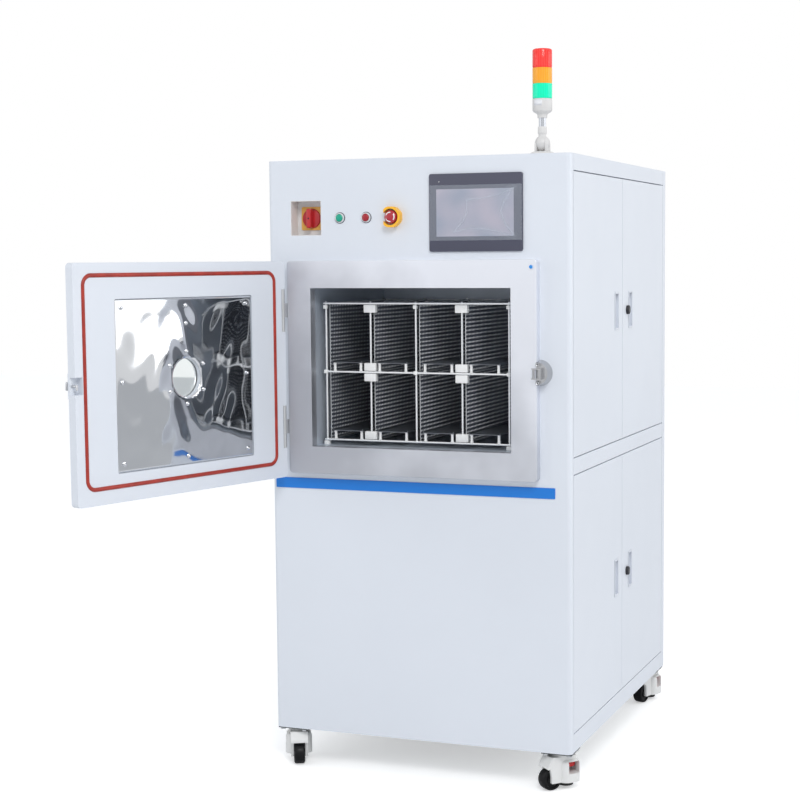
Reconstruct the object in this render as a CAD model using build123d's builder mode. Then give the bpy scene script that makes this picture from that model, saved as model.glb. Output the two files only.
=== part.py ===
"""Plasma cleaner on four levelling casters: cabinet, vacuum chamber, door, electrode rack and controls.

Millimetres. X points right, -Y points out of the front, +Z points up.
The origin is on the floor, under the centre of the cabinet.
"""
import os
from math import cos, radians, sin

from build123d import *

os.makedirs("parts", exist_ok=True)

# Cabinet
cabinet_width = 900.0
cabinet_depth = 1100.0
cabinet_height = 1645.0
caster_height = 110.0
sheet = 2.0
front_corner_radius = 14.0
front_return = 22.0
rear_return = 38.0
rear_corner_radius = 4.0
panel_gap = 1.5
panel_lip = 16.0
tube = 40.0
tube_wall = 3.0
base_height = 40.0
base_wall = 3.0
weld_gap = 0.2
frame_inset = 7.0

# Side doors
door_gap = 3.0
side_door_depth = 20.0
door_back_gap = 3.0
top_rail = 45.0
middle_rail = 45.0
bottom_rail = 52.0
seam_from_front = 545.0
landing = 30.0
pivot_inset = 7.0
pivot_depth = 6.0
pivot_radius = 4.0
pivot_length = 10.0
running_gap = 0.05
running_play = 0.3
pull_height = 110.0
pull_width = 44.0
pull_cup_depth = 14.0
pull_rim = 3.0
pull_plate = 1.5
front_pull_from_seam = 68.0
rear_pull_from_seam = 94.0
lock_from_seam = 54.0
lock_radius = 13.5
lock_shaft_radius = 9.0
lock_head = 9.0
cam_length = 72.0
cam_width = 16.0
cam_thickness = 3.0
cam_gap = 2.0
upper_pull_from_top = 437.0
lower_pull_from_bottom = 410.0

# Vacuum chamber
chamber_width = 596.0
chamber_height = 450.0
chamber_depth = 510.0
chamber_x = -9.0
chamber_wall = 15.0
beam_inset_front = 70.0
beam_inset_rear = 25.0
port_from_side = 107.0
port_from_floor = 65.0
port_bore = 22.0
port_wall = 3.0
port_length = 45.0
flange_width = 742.0
flange_height = 604.0
flange_thickness = 31.0
flange_corner = 10.0
flange_from_top = 283.0
flange_top_margin = 77.0
panel_clearance = 8.0
plug_radius = 6.2
plug_proud = 2.0
plug_inset_x = 14.6
plug_inset_z = 20.6

# Chamber door
door_open_angle = 106.9
door_overlap_side = 12.0
door_overlap_bottom = 11.0
door_top_drop = 0.5
door_thickness = 25.0
door_corner = 12.0
seal_diameter = 11.0
seal_proud = 4.0
seal_margin_side = 38.0
seal_margin_top = 32.0
seal_margin_bottom = 42.0
seal_corner = 26.0
seal_to_flange = 0.5
hinge_edge_inset = 3.0
hinge_face_inset = 6.5
knuckle_radius = 6.5
hinge_pin_radius = 3.0
hinge_length = 120.0
hinge_from_bottom = 84.0
hinge_from_top = 79.5
knuckle_gap = 0.5
hinge_notch = 14.0
hinge_plate = 6.0
mirror_width = 497.0
mirror_height = 446.0
mirror_thickness = 2.0
mirror_recess = 5.0
mirror_corner = 5.0
mirror_from_bottom = 75.0
window_above_middle = 9.0
mirror_play = 0.5
window_radius = 52.0
glass_radius = 66.0
glass_thickness = 8.0
window_ring_width = 20.0
window_ring_proud = 5.0
glass_play = 0.5

# Latch and strike
latch_from_bottom = 307.0
keeper_gap = 24.0
keeper_ear = 3.0
keeper_roller_radius = 3.0
keeper_reach = 18.0
keeper_boss_radius = 36.0
keeper_boss_front_radius = 31.0
keeper_screw_spacing = 50.0
keeper_screw_radius = 5.5
keeper_screw_height = 4.0
latch_pocket_width = 25.0
latch_pocket_height = 44.0
latch_pocket_depth = 19.0
latch_shaft_radius = 4.0
latch_shaft_inset = 8.0
latch_cam_length = 11.0
latch_cam_width = 7.0
latch_cam_thickness = 2.5
latch_cam_cover = 1.5
latch_plate_proud = 2.5
latch_plate_width = 60.0
latch_plate_height = 64.0
lever_length = 150.0
lever_width = 22.0
lever_hub = 6.0
lever_hub_reach = 44.0
lever_grip_start = 12.0
lever_grip_end = 26.0

# Electrode rack
rack_columns = 4
rack_levels = 2
rack_left_gap = 17.0
rack_right_gap = 27.0
rack_floor_gap = 15.5
rack_top_gap = 44.5
rack_front_gap = 38.0
rack_back_gap = 48.0
post_radius = 3.0
cross_rod_radius = 2.8
depth_rod_radius = 2.5
rod_overhang = 5.0
electrode_thickness = 1.6
electrode_edge = 13.0
block_width = 36.0
block_height = 22.0
block_depth = 18.0
block_gap = 4.0
pin_radius = 4.0
pin_spacing = 80.0
pin_height = 26.0
tray_thickness = 1.5
tray_overlap = 6.0
rack_foot_radius = 5.5
foot_gap = 0.2
foot_lap = 1.2

# Controls
screen_from_right = 134.0
screen_from_top = 48.0
screen_width = 271.0
screen_height = 213.0
screen_proud = 6.0
screen_body_depth = 38.0
screen_rim = 8.0
display_left = 22.0
display_bottom = 41.5
display_width = 224.0
display_height = 129.0
display_glass = 1.0
pocket_from_left = 71.0
pocket_from_top = 113.5
pocket_width = 95.0
pocket_height = 98.5
pocket_depth = 46.0
pocket_wall = 1.5
switch_plate_size = 66.0
switch_plate_thickness = 3.0
knob_radius = 28.0
knob_disc = 8.0
knob_grip_width = 15.0
knob_grip_height = 18.0
knob_shaft_radius = 5.0
button_from_top = 163.5
button_space_left = 58.0
button_space_right = 110.0
button_pitch = 80.5
button_collar_radius = 14.5
button_cap_radius = 10.0
button_collar_proud = 6.0
button_cap_proud = 9.0
button_barrel_radius = 12.0
button_barrel_depth = 34.0
button_travel = 3.0
guard_width = 56.0
guard_height = 58.0
guard_proud = 22.0
guard_inner_radius = 23.0
estop_radius = 19.0
estop_head = 14.0
estop_gap = 7.0
estop_travel = 4.0

# Stripe
stripe_from_left = 12.5
stripe_from_right = 45.0
stripe_under_flange = 18.0
stripe_height = 30.0
stripe_thickness = 2.0

# Tower light
tower_from_right = 98.0
tower_from_front = 60.0
tower_foot_radius = 34.5
tower_foot_height = 8.0
tower_collar_radius = 26.0
tower_collar_height = 4.0
tower_pivot_height = 30.0
tower_ear_gap = 23.0
tower_ear_thickness = 6.0
tower_knuckle_radius = 17.0
tower_pivot_radius = 4.0
tower_socket_top = 76.0
tower_pole_top = 100.0
tower_taper_top = 123.0
tower_base_top = 150.0
tower_pole_radius = 9.0
tower_socket_radius = 12.0
lens_radius = 27.0
green_height = 40.0
amber_height = 42.0
red_height = 51.0

# Casters
caster_inset_x = 46.0
caster_inset_y = 52.0
caster_plate_size = 88.0
caster_plate = 5.0
caster_bolt_spacing = 68.0
caster_bolt_radius = 6.0
caster_bolt_head = 5.0
kingpin_radius = 6.0
kingpin_length = 12.0
turret_radius = 30.0
turret_gap = 0.3
housing_back = 36.0
housing_bottom = 22.0
fork_thickness = 8.0
canopy_reach = 24.0
canopy_bottom = 62.0
canopy_rise = 4.0
canopy_lip = 12.0
drum_back = 48.0
drum_front = 16.0
drum_half_width = 39.0
drum_corner = 24.0
drum_top = 84.0
drum_round = 12.0
turret_height = 9.0
wheel_radius = 31.5
wheel_width = 32.0
wheel_offset = 36.0
wheel_gap = 1.0
wheel_well_gap = 3.0
axle_radius = 5.0
axle_boss_radius = 9.0
thumb_radius = 26.0
thumb_bottom = 64.0
thumb_height = 12.0
thumb_clearance = 2.0
window_bottom = 47.0
window_top = 80.0
window_back = -40.0
window_front = -3.0
foot_offset = -16.0
foot_radius = 21.0
foot_bottom = 8.0
foot_height = 9.0
foot_stem_radius = 8.0
caster_headings = {"front_left": -62.7, "front_right": -131.3, "rear_left": 75.0, "rear_right": -105.0}

# Machinery inside
pump_inlet_from_left = 190.0
pump_inlet_from_front = 130.0
pump_width = 260.0
pump_length = 300.0
pump_height = 270.0
motor_radius = 85.0
motor_length = 150.0
line_radius = 25.0
line_wall = 3.0
line_bend = 70.0
line_drop_from_port = 130.0
clamp_ring_radius = 37.0
clamp_ring_length = 16.0
exhaust_radius = 20.0
exhaust_wall = 3.0
exhaust_proud = 18.0
generator_width = 430.0
generator_depth = 420.0
generator_height = 133.0
generator_from_right = 90.0
generator_from_front = 50.0
generator_feet = 6.0
matching_width = 300.0
matching_depth = 200.0
matching_height = 200.0
matching_from_middle = -71.0
matching_from_floor = 135.0
mounting_plate = 2.5
electrical_rear_gap = 41.0
electrical_width = 480.0
electrical_from_top = 215.0
electrical_height = 640.0
gas_from_right = 110.0
gas_width = 280.0
gas_from_top = 455.0
gas_height = 300.0
inlet_radius = 8.0
inlet_bore = 3.0
inlet_proud = 22.0
inlet_spacing = 60.0
gland_radius = 16.0
gland_bore = 9.0
gland_proud = 20.0
gland_wall = 2.0
gland_from_left = 140.0
gland_from_bottom = 510.0
slot_width = 160.0
slot_height = 8.0
slot_pitch = 18.0
slot_count = 9
slots_from_right = 270.0
lower_slots_from_bottom = 220.0
upper_slots_from_top = 235.0
hole_play = 0.4

# Electrical modules and flow controllers
module_margin = 40.0
module_gap = 20.0
upper_row = 470.0
lower_row = 260.0
terminal_row = 120.0
breaker_width = 90.0
breaker_height = 130.0
breaker_depth = 62.0
contactor_width = 60.0
contactor_depth = 75.0
relay_width = 80.0
relay_height = 100.0
relay_depth = 68.0
supply_width = 110.0
supply_height = 120.0
supply_depth = 110.0
drive_width = 80.0
drive_height = 120.0
drive_depth = 90.0
controller_width = 190.0
controller_height = 140.0
controller_depth = 55.0
terminal_height = 45.0
terminal_depth = 45.0
gas_plate = 3.0
flow_width = 32.0
flow_depth = 100.0
flow_standoff = 20.0
flow_below = 60.0
flow_above = 75.0
flow_shelf_width = 28.0
flow_shelf_height = 20.0
flow_shelf_reach = 5.0
flow_port_rise = 12.0

# Places worked out from the sizes above
left_x = -cabinet_width / 2
right_x = cabinet_width / 2
front_y = -cabinet_depth / 2
rear_y = cabinet_depth / 2
bottom_z = caster_height
top_z = caster_height + cabinet_height
inner_x = right_x - side_door_depth - door_back_gap - sheet
post_right = inner_x
rail_face = right_x - sheet
side_front = front_y + front_return
side_rear = rear_y - rear_return
seam_y = front_y + seam_from_front
flange_top = top_z - flange_from_top
flange_bottom = flange_top - flange_height
chamber_top = flange_top - flange_top_margin
chamber_floor = chamber_top - chamber_height
deck_z = chamber_floor - chamber_wall
middle_rail_bottom = deck_z - middle_rail
upper_pull_z = top_z - upper_pull_from_top
lower_pull_z = bottom_z + lower_pull_from_bottom
chamber_left = chamber_x - chamber_width / 2
chamber_right = chamber_x + chamber_width / 2
chamber_mid_z = chamber_floor + chamber_height / 2
chamber_back = front_y + chamber_depth
flange_front = front_y - flange_thickness
flange_left = chamber_x - flange_width / 2
flange_right = chamber_x + flange_width / 2
door_inner_closed = flange_front - seal_proud - seal_to_flange
port_x = chamber_left + port_from_side
port_z = chamber_floor + port_from_floor
door_width = flange_width + 2 * door_overlap_side
hinge_x = chamber_x - door_width / 2 + hinge_edge_inset
hinge_y = door_inner_closed - hinge_face_inset
door_top = flange_top - door_top_drop
door_bottom = flange_bottom - door_overlap_bottom
door_height = door_top - door_bottom
hinge_lower_z = door_bottom + hinge_from_bottom
hinge_upper_z = door_top - hinge_from_top - hinge_length
latch_z = door_bottom + latch_from_bottom
screen_left = right_x - screen_from_right - screen_width
screen_bottom = top_z - screen_from_top - screen_height
pocket_left = left_x + pocket_from_left
pocket_right = pocket_left + pocket_width
pocket_bottom = top_z - pocket_from_top - pocket_height
button_z = top_z - button_from_top
button_space = screen_left - pocket_right - 2 * button_pitch
button_share = button_space_left / (button_space_left + button_space_right)
button_first_x = pocket_right + button_space * button_share
guard_x = button_first_x + 2 * button_pitch
pocket_x = pocket_left + pocket_width / 2
pocket_z = pocket_bottom + pocket_height / 2
pocket_back = front_y + pocket_depth
rack_left = chamber_left + rack_left_gap
rack_right = chamber_right - rack_right_gap
rack_pitch = (rack_right - rack_left) / rack_columns
rack_front = front_y + rack_front_gap
rack_back = chamber_back - rack_back_gap
rack_bottom = chamber_floor + rack_floor_gap
rack_top = chamber_top - rack_top_gap
rack_level = (rack_top - rack_bottom) / rack_levels
post_xs = [rack_left + rack_pitch * i for i in range(rack_columns + 1)]
level_zs = [rack_bottom + rack_level * i for i in range(rack_levels + 1)]
stripe_left = left_x + stripe_from_left
stripe_right = right_x - stripe_from_right
stripe_bottom = flange_bottom - stripe_under_flange - stripe_height
tower_x = right_x - tower_from_right
tower_y = front_y + tower_from_front
line_start = chamber_back + chamber_wall + port_length
line_y = line_start + line_drop_from_port
pump_left = port_x - pump_inlet_from_left
pump_front = line_y - pump_inlet_from_front
pump_x = pump_left + pump_width / 2
pump_rear = pump_front + pump_length
generator_left = right_x - generator_from_right - generator_width
generator_front = front_y + generator_from_front
matching_left = chamber_x + matching_from_middle
matching_bottom = chamber_floor + matching_from_floor
electrical_bottom = top_z - electrical_from_top - electrical_height
gas_left = right_x - gas_from_right - gas_width
gas_bottom = top_z - gas_from_top - gas_height
keeper_roller_x = chamber_x + door_width / 2 - latch_pocket_width + keeper_roller_radius + 5.0


def block(x1, x2, y1, y2, z1, z2, mode=Mode.ADD):
    """A box between two opposite corners, in the frame of the part being built."""
    with Locations(((x1 + x2) / 2, (y1 + y2) / 2, (z1 + z2) / 2)):
        Box(x2 - x1, y2 - y1, z2 - z1, mode=mode)


def rod_x(x1, x2, y, z, radius, mode=Mode.ADD):
    """A round bar along X."""
    with Locations(Location(((x1 + x2) / 2, y, z), (0, 90, 0))):
        Cylinder(radius, x2 - x1, mode=mode)


def rod_y(x, y1, y2, z, radius, mode=Mode.ADD):
    """A round bar along Y."""
    with Locations(Location((x, (y1 + y2) / 2, z), (90, 0, 0))):
        Cylinder(radius, y2 - y1, mode=mode)


def rod_z(x, y, z1, z2, radius, mode=Mode.ADD):
    """A round bar along Z."""
    with Locations((x, y, (z1 + z2) / 2)):
        Cylinder(radius, z2 - z1, mode=mode)


def save(builder, name):
    """Label a finished piece and write its STEP file."""
    builder.part.label = name
    export_step(builder.part, f"parts/{name}.step")


# Cabinet frame: a folded base tray, and square tubes with thin weld gaps between them
inner_corner = front_corner_radius - sheet
post_left = left_x + sheet + frame_inset
post_front = front_y + sheet + frame_inset
post_rear = rear_y - sheet - frame_inset - tube
frame_top = top_z - sheet
post_bottom = bottom_z + base_wall + weld_gap
rail_front = post_front + tube
rail_rear = post_rear
rail_left = post_left + tube
rail_right = post_right - tube

with BuildPart() as cabinet_frame:
    with BuildSketch(Plane.XY.offset(bottom_z)) as tray_outline:
        Rectangle(cabinet_width - 2 * sheet, cabinet_depth - 2 * sheet)
        fillet(tray_outline.vertices(), inner_corner)
    extrude(amount=base_height)
    with BuildSketch(Plane.XY.offset(bottom_z + base_wall)) as tray_inside:
        Rectangle(cabinet_width - 2 * sheet - 2 * base_wall, cabinet_depth - 2 * sheet - 2 * base_wall)
        fillet(tray_inside.vertices(), inner_corner - base_wall)
    extrude(amount=base_height, mode=Mode.SUBTRACT)
    for x in (post_left, post_right - tube):
        for y in (post_front, post_rear):
            block(x, x + tube, y, y + tube, post_bottom, frame_top)
            block(x + tube_wall, x + tube - tube_wall, y + tube_wall, y + tube - tube_wall, post_bottom, frame_top,
                  mode=Mode.SUBTRACT)
    rails = []
    for x in (post_left, post_right - tube):
        for z in (middle_rail_bottom, frame_top - tube):
            rails.append((x, x + tube, rail_front + weld_gap, rail_rear - weld_gap, z))
    for y in (post_front, post_rear):
        rails.append((rail_left + weld_gap, rail_right - weld_gap, y, y + tube, frame_top - tube))
    for y in (front_y + beam_inset_front, chamber_back - beam_inset_rear - tube):
        rails.append((rail_left + weld_gap, rail_right - weld_gap, y, y + tube, deck_z - tube))
    for x1, x2, y1, y2, z in rails:
        block(x1, x2, y1, y2, z, z + tube)
save(cabinet_frame, "cabinet_frame")

# Front panel: one folded sheet that wraps round both upright corners
with BuildPart() as front_panel:
    with BuildSketch(Plane.XY.offset(bottom_z)) as front_section:
        with BuildLine() as front_line:
            Polyline(
                (left_x, side_front),
                (left_x, front_y),
                (right_x, front_y),
                (right_x, side_front),
                (right_x - sheet, side_front),
                (right_x - sheet, front_y + sheet),
                (left_x + sheet, front_y + sheet),
                (left_x + sheet, side_front),
                close=True,
            )
        make_face()
        outer = front_section.vertices().group_by(Axis.Y)[0]
        fillet(outer, front_corner_radius)
        inner = front_section.vertices().filter_by_position(Axis.Y, front_y + sheet - 0.1, front_y + sheet + 0.1)
        inner = inner.filter_by_position(Axis.X, left_x + sheet - 0.1, right_x - sheet + 0.1)
        fillet(inner, front_corner_radius - sheet)
    extrude(amount=cabinet_height)
    wall = (front_y - sheet, front_y + 2 * sheet)
    block(chamber_left - chamber_wall - panel_clearance, chamber_right + chamber_wall + panel_clearance, *wall,
          deck_z - panel_clearance, chamber_top + chamber_wall + panel_clearance, mode=Mode.SUBTRACT)
    block(screen_left + screen_rim, screen_left + screen_width - screen_rim, *wall,
          screen_bottom + screen_rim, screen_bottom + screen_height - screen_rim, mode=Mode.SUBTRACT)
    block(pocket_left, pocket_left + pocket_width, *wall, pocket_bottom, pocket_bottom + pocket_height,
          mode=Mode.SUBTRACT)
    for i in range(3):
        rod_y(button_first_x + i * button_pitch, *wall, button_z, button_barrel_radius + hole_play,
              mode=Mode.SUBTRACT)
save(front_panel, "front_panel")

# Left panel: a shallow pan
with BuildPart() as left_panel:
    pan_front = side_front + panel_gap
    pan_rear = side_rear - panel_gap
    block(left_x, left_x + sheet, pan_front, pan_rear, bottom_z, top_z - sheet - panel_gap)
    for y in (rail_front, rail_rear - sheet):
        block(left_x, post_left + panel_lip, y, y + sheet, bottom_z + base_height, middle_rail_bottom)
save(left_panel, "left_panel")

# Rear panel: folded sheet with cooling slots and ports
exhaust_x = pump_x
exhaust_z = bottom_z + base_wall + pump_height * 0.75
gas_inlet_z = gas_bottom + gas_height / 2
gas_inlet_x = gas_left + gas_width / 2
gland_x = left_x + gland_from_left
gland_z = bottom_z + gland_from_bottom
with BuildPart() as rear_panel:
    with BuildSketch(Plane.XY.offset(bottom_z)) as rear_section:
        with BuildLine() as rear_line:
            Polyline(
                (left_x, side_rear),
                (left_x, rear_y),
                (right_x, rear_y),
                (right_x, side_rear),
                (right_x - sheet, side_rear),
                (right_x - sheet, rear_y - sheet),
                (left_x + sheet, rear_y - sheet),
                (left_x + sheet, side_rear),
                close=True,
            )
        make_face()
        fillet(rear_section.vertices().group_by(Axis.Y)[-1], rear_corner_radius)
    extrude(amount=cabinet_height)
    wall = (rear_y - 2 * sheet, rear_y + sheet)
    with BuildSketch(Plane.XZ.offset(-rear_y - sheet)) as slots:
        for z in (bottom_z + lower_slots_from_bottom, top_z - upper_slots_from_top):
            with Locations((right_x - slots_from_right, z)):
                with GridLocations(0, slot_pitch, 1, slot_count):
                    SlotOverall(slot_width, slot_height)
    extrude(amount=3 * sheet, mode=Mode.SUBTRACT)
    rod_y(exhaust_x, *wall, exhaust_z, exhaust_radius + hole_play, mode=Mode.SUBTRACT)
    for side in (-1, 1):
        rod_y(gas_inlet_x + side * inlet_spacing / 2, *wall, gas_inlet_z, inlet_radius + hole_play,
              mode=Mode.SUBTRACT)
    rod_y(gland_x, *wall, gland_z, gland_bore + gland_wall, mode=Mode.SUBTRACT)
    rod_y(gland_x, rear_y, rear_y + gland_proud, gland_z, gland_radius)
    rod_y(gland_x, rear_y - sheet, rear_y + gland_proud, gland_z, gland_bore, mode=Mode.SUBTRACT)
save(rear_panel, "rear_panel")

# Top panel: fits inside the front and rear folds and lies over the side panels between them
with BuildPart() as top_panel:
    with BuildSketch(Plane.XY.offset(top_z - sheet)) as top_outline:
        Rectangle(cabinet_width - 2 * sheet, cabinet_depth - 2 * sheet)
        fillet(top_outline.vertices(), inner_corner)
        with Locations((0, (side_front + side_rear) / 2)):
            Rectangle(cabinet_width, side_rear - side_front - 2 * panel_gap)
    extrude(amount=sheet)
    for y in (rail_front, rail_rear - sheet):
        block(rail_left, rail_right, y, y + sheet, top_z - sheet - panel_lip, top_z - sheet)
save(top_panel, "top_panel")

# Right side surround: three raised rails on a recessed landing with two door openings
upper_door_bottom = middle_rail_bottom + middle_rail + door_gap
upper_door_top = top_z - top_rail - door_gap
lower_door_bottom = bottom_z + bottom_rail + door_gap
lower_door_top = middle_rail_bottom - door_gap
side_front_edge = side_front + panel_gap
side_rear_edge = side_rear - panel_gap
pivot_x = right_x - pivot_depth
front_pivot_y = side_front + door_gap + pivot_inset
rear_pivot_y = side_rear - door_gap - pivot_inset
with BuildPart() as right_panel:
    surround_bottom = bottom_z + base_height
    block(inner_x, inner_x + sheet, side_front_edge, side_rear_edge, surround_bottom, top_z - sheet)
    for z1, z2 in ((lower_door_bottom, lower_door_top), (upper_door_bottom, upper_door_top)):
        block(inner_x, inner_x + sheet, side_front_edge + landing, side_rear_edge - landing,
              z1 + landing, z2 - landing, mode=Mode.SUBTRACT)
    rail_spans = [
        (surround_bottom, bottom_z + bottom_rail),
        (middle_rail_bottom, middle_rail_bottom + middle_rail),
        (top_z - top_rail, top_z - sheet),
    ]
    for z1, z2 in rail_spans:
        block(inner_x, right_x, side_front_edge, side_rear_edge, z1, z2)
        block(inner_x + sheet, rail_face, side_front_edge + sheet, side_rear_edge - sheet,
              z1 + sheet, z2 - sheet, mode=Mode.SUBTRACT)
    block(rail_face, right_x, side_front_edge, side_rear_edge, bottom_z, surround_bottom)
    for y in (front_pivot_y, rear_pivot_y):
        for z in (bottom_z + bottom_rail, middle_rail_bottom, middle_rail_bottom + middle_rail, top_z - top_rail):
            rod_z(pivot_x, y, z - sheet, z + sheet, pivot_radius + running_gap, mode=Mode.SUBTRACT)
save(right_panel, "right_panel")

# Side doors: shallow pans with a flush pull and two pivot pins each
side_doors = {
    "upper_front_door": (upper_door_bottom, upper_door_top, True, upper_pull_z),
    "upper_rear_door": (upper_door_bottom, upper_door_top, False, upper_pull_z),
    "lower_front_door": (lower_door_bottom, lower_door_top, True, lower_pull_z),
    "lower_rear_door": (lower_door_bottom, lower_door_top, False, lower_pull_z),
}
lock_y = seam_y + lock_from_seam
for name, (z1, z2, is_front, pull_z) in side_doors.items():
    if is_front:
        y1 = side_front + door_gap
        y2 = seam_y - door_gap / 2
        pull_y = seam_y - front_pull_from_seam
        pin_y = front_pivot_y
    else:
        y1 = seam_y + door_gap / 2
        y2 = side_rear - door_gap
        pull_y = seam_y + rear_pull_from_seam
        pin_y = rear_pivot_y
    cup_width = pull_width - 2 * pull_rim
    cup_height = pull_height - 2 * pull_rim
    with BuildPart() as side_door:
        block(right_x - side_door_depth, right_x, y1, y2, z1, z2)
        block(right_x - side_door_depth, right_x - sheet, y1 + sheet, y2 - sheet, z1 + sheet, z2 - sheet,
              mode=Mode.SUBTRACT)
        for z in (z1, z2 - sheet):
            block(pivot_x - pivot_radius - sheet, right_x, pin_y - 2 * pivot_radius, pin_y + 2 * pivot_radius,
                  z, z + sheet)
        for z in (z1 + sheet, z2 - sheet):
            rod_z(pivot_x, pin_y, z - pivot_length / 2, z + pivot_length / 2, pivot_radius)
        block(right_x - 2 * sheet, right_x + sheet, pull_y - cup_width / 2, pull_y + cup_width / 2,
              pull_z - cup_height / 2, pull_z + cup_height / 2, mode=Mode.SUBTRACT)
        if not is_front:
            rod_x(right_x - 2 * sheet, right_x + sheet, lock_y, pull_z, lock_shaft_radius + running_gap,
                  mode=Mode.SUBTRACT)
        block(right_x, right_x + pull_plate, pull_y - pull_width / 2, pull_y + pull_width / 2,
              pull_z - pull_height / 2, pull_z + pull_height / 2)
        block(right_x - pull_cup_depth, right_x, pull_y - cup_width / 2, pull_y + cup_width / 2,
              pull_z - cup_height / 2, pull_z + cup_height / 2)
        block(right_x - pull_cup_depth + pull_plate, right_x + pull_plate,
              pull_y - cup_width / 2 + pull_plate, pull_y + cup_width / 2 - pull_plate,
              pull_z - cup_height / 2 + pull_plate, pull_z + cup_height / 2 - pull_plate, mode=Mode.SUBTRACT)
    save(side_door, name)

# Cam locks on the two rear leaves, drawn unlocked with the cam pointing up
cam_x2 = right_x - side_door_depth - cam_gap
for name, z in (("upper_lock", upper_pull_z), ("lower_lock", lower_pull_z)):
    with BuildPart() as lock:
        rod_x(right_x, right_x + lock_head, lock_y, z, lock_radius)
        rod_x(cam_x2 - cam_thickness - 3.0, right_x, lock_y, z, lock_shaft_radius)
        block(cam_x2 - cam_thickness, cam_x2, lock_y - cam_width / 2, lock_y + cam_width / 2,
              z, z + cam_length - cam_width / 2)
        block(right_x + lock_head - 3.0, right_x + lock_head + 1.0, lock_y - 1.0, lock_y + 1.0, z - 5.0, z + 5.0,
              mode=Mode.SUBTRACT)
    save(lock, name)

# Blue stripe bar, bonded to the front panel under the flange
with BuildPart() as stripe_bar:
    block(stripe_left, stripe_right, front_y - stripe_thickness, front_y, stripe_bottom,
          stripe_bottom + stripe_height)
    fillet(stripe_bar.edges().filter_by(Axis.Y), 2.0)
save(stripe_bar, "stripe_bar")

# Vacuum chamber: a welded box, open at the front, with a pumping port at the back
with BuildPart() as vacuum_chamber:
    block(chamber_left - chamber_wall, chamber_right + chamber_wall, front_y, chamber_back + chamber_wall,
          deck_z, chamber_top + chamber_wall)
    block(chamber_left, chamber_right, front_y, chamber_back, chamber_floor, chamber_top, mode=Mode.SUBTRACT)
    port_start = chamber_back + chamber_wall
    rod_y(port_x, port_start, port_start + port_length, port_z, port_bore + port_wall)
    rod_y(port_x, port_start + port_length - 5.0, port_start + port_length, port_z, clamp_ring_radius - 3.0)
    rod_y(port_x, chamber_back - 1.0, port_start + port_length, port_z, port_bore, mode=Mode.SUBTRACT)
    for x in (chamber_left + chamber_width / 3, chamber_left + 2 * chamber_width / 3):
        block(x - 6.0, x + 6.0, front_y + 40.0, chamber_back - 40.0, chamber_top + chamber_wall,
              chamber_top + chamber_wall + 25.0)
save(vacuum_chamber, "vacuum_chamber")

# Chamber flange, with its round plug
with BuildPart() as chamber_flange:
    with BuildSketch(Plane.XZ.offset(-front_y)) as flange_face:
        with Locations((chamber_x, (flange_top + flange_bottom) / 2)):
            RectangleRounded(flange_width, flange_height, flange_corner)
        with Locations((chamber_x, chamber_mid_z)):
            Rectangle(chamber_width, chamber_height, mode=Mode.SUBTRACT)
    extrude(amount=flange_thickness)
    front_edges = chamber_flange.faces().sort_by(Axis.Y)[0].outer_wire().edges()
    chamfer(front_edges, 1.5)
    rod_y(flange_right - plug_inset_x, flange_front - plug_proud, flange_front + 8.0, flange_top - plug_inset_z,
          plug_radius + hole_play, mode=Mode.SUBTRACT)
    rod_y(flange_right - plug_inset_x, flange_front - plug_proud, flange_front + 8.0, flange_top - plug_inset_z,
          plug_radius)
save(chamber_flange, "chamber_flange")

# Door strike: half a round boss against the flange's side, with an eared keeper and two cap screws
with BuildPart() as door_strike:
    with BuildSketch(Plane.XZ.offset(-front_y)) as boss_back:
        with Locations((flange_right, latch_z)):
            Circle(keeper_boss_radius)
            Rectangle(2 * keeper_boss_radius, 2 * keeper_boss_radius, align=(Align.MAX, Align.CENTER),
                      mode=Mode.SUBTRACT)
    with BuildSketch(Plane.XZ.offset(-flange_front)) as boss_front:
        with Locations((flange_right, latch_z)):
            Circle(keeper_boss_front_radius)
            Rectangle(2 * keeper_boss_radius, 2 * keeper_boss_radius, align=(Align.MAX, Align.CENTER),
                      mode=Mode.SUBTRACT)
    loft()
    ear_z = keeper_gap / 2
    ear_left = keeper_roller_x - keeper_roller_radius - 2.0
    ear_right = flange_right + 14.0
    ear_front = flange_front - keeper_reach
    for z in (latch_z - ear_z - keeper_ear, latch_z + ear_z):
        block(ear_left, ear_right, ear_front, flange_front, z, z + keeper_ear)
    block(flange_right + 13.0, flange_right + 17.0, ear_front, flange_front, latch_z - ear_z - keeper_ear,
          latch_z + ear_z + keeper_ear)
    rod_z(keeper_roller_x, ear_front + keeper_roller_radius + 1.5, latch_z - ear_z, latch_z + ear_z,
          keeper_roller_radius)
    for side in (-1, 1):
        rod_y(flange_right + 7.0, flange_front - keeper_screw_height, flange_front,
              latch_z + side * keeper_screw_spacing / 2, keeper_screw_radius)
save(door_strike, "door_strike")

# Touch screen: bezel, body behind the panel and a cover glass
display_x1 = screen_left + display_left
display_z1 = screen_bottom + display_bottom
with BuildPart() as touch_screen:
    with BuildSketch(Plane.XZ.offset(-front_y)) as bezel_face:
        with Locations((screen_left + screen_width / 2, screen_bottom + screen_height / 2)):
            RectangleRounded(screen_width, screen_height, 6.0)
    extrude(amount=screen_proud)
    chamfer(touch_screen.faces().sort_by(Axis.Y)[0].outer_wire().edges(), 2.5)
    block(screen_left + screen_rim + 1.0, screen_left + screen_width - screen_rim - 1.0, front_y,
          front_y + screen_body_depth, screen_bottom + screen_rim + 1.0,
          screen_bottom + screen_height - screen_rim - 1.0)
    block(display_x1, display_x1 + display_width, front_y - screen_proud, front_y - screen_proud + display_glass,
          display_z1, display_z1 + display_height, mode=Mode.SUBTRACT)
save(touch_screen, "touch_screen")

with BuildPart() as screen_glass:
    block(display_x1, display_x1 + display_width, front_y - screen_proud, front_y - screen_proud + display_glass,
          display_z1, display_z1 + display_height)
save(screen_glass, "screen_glass")

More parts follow.
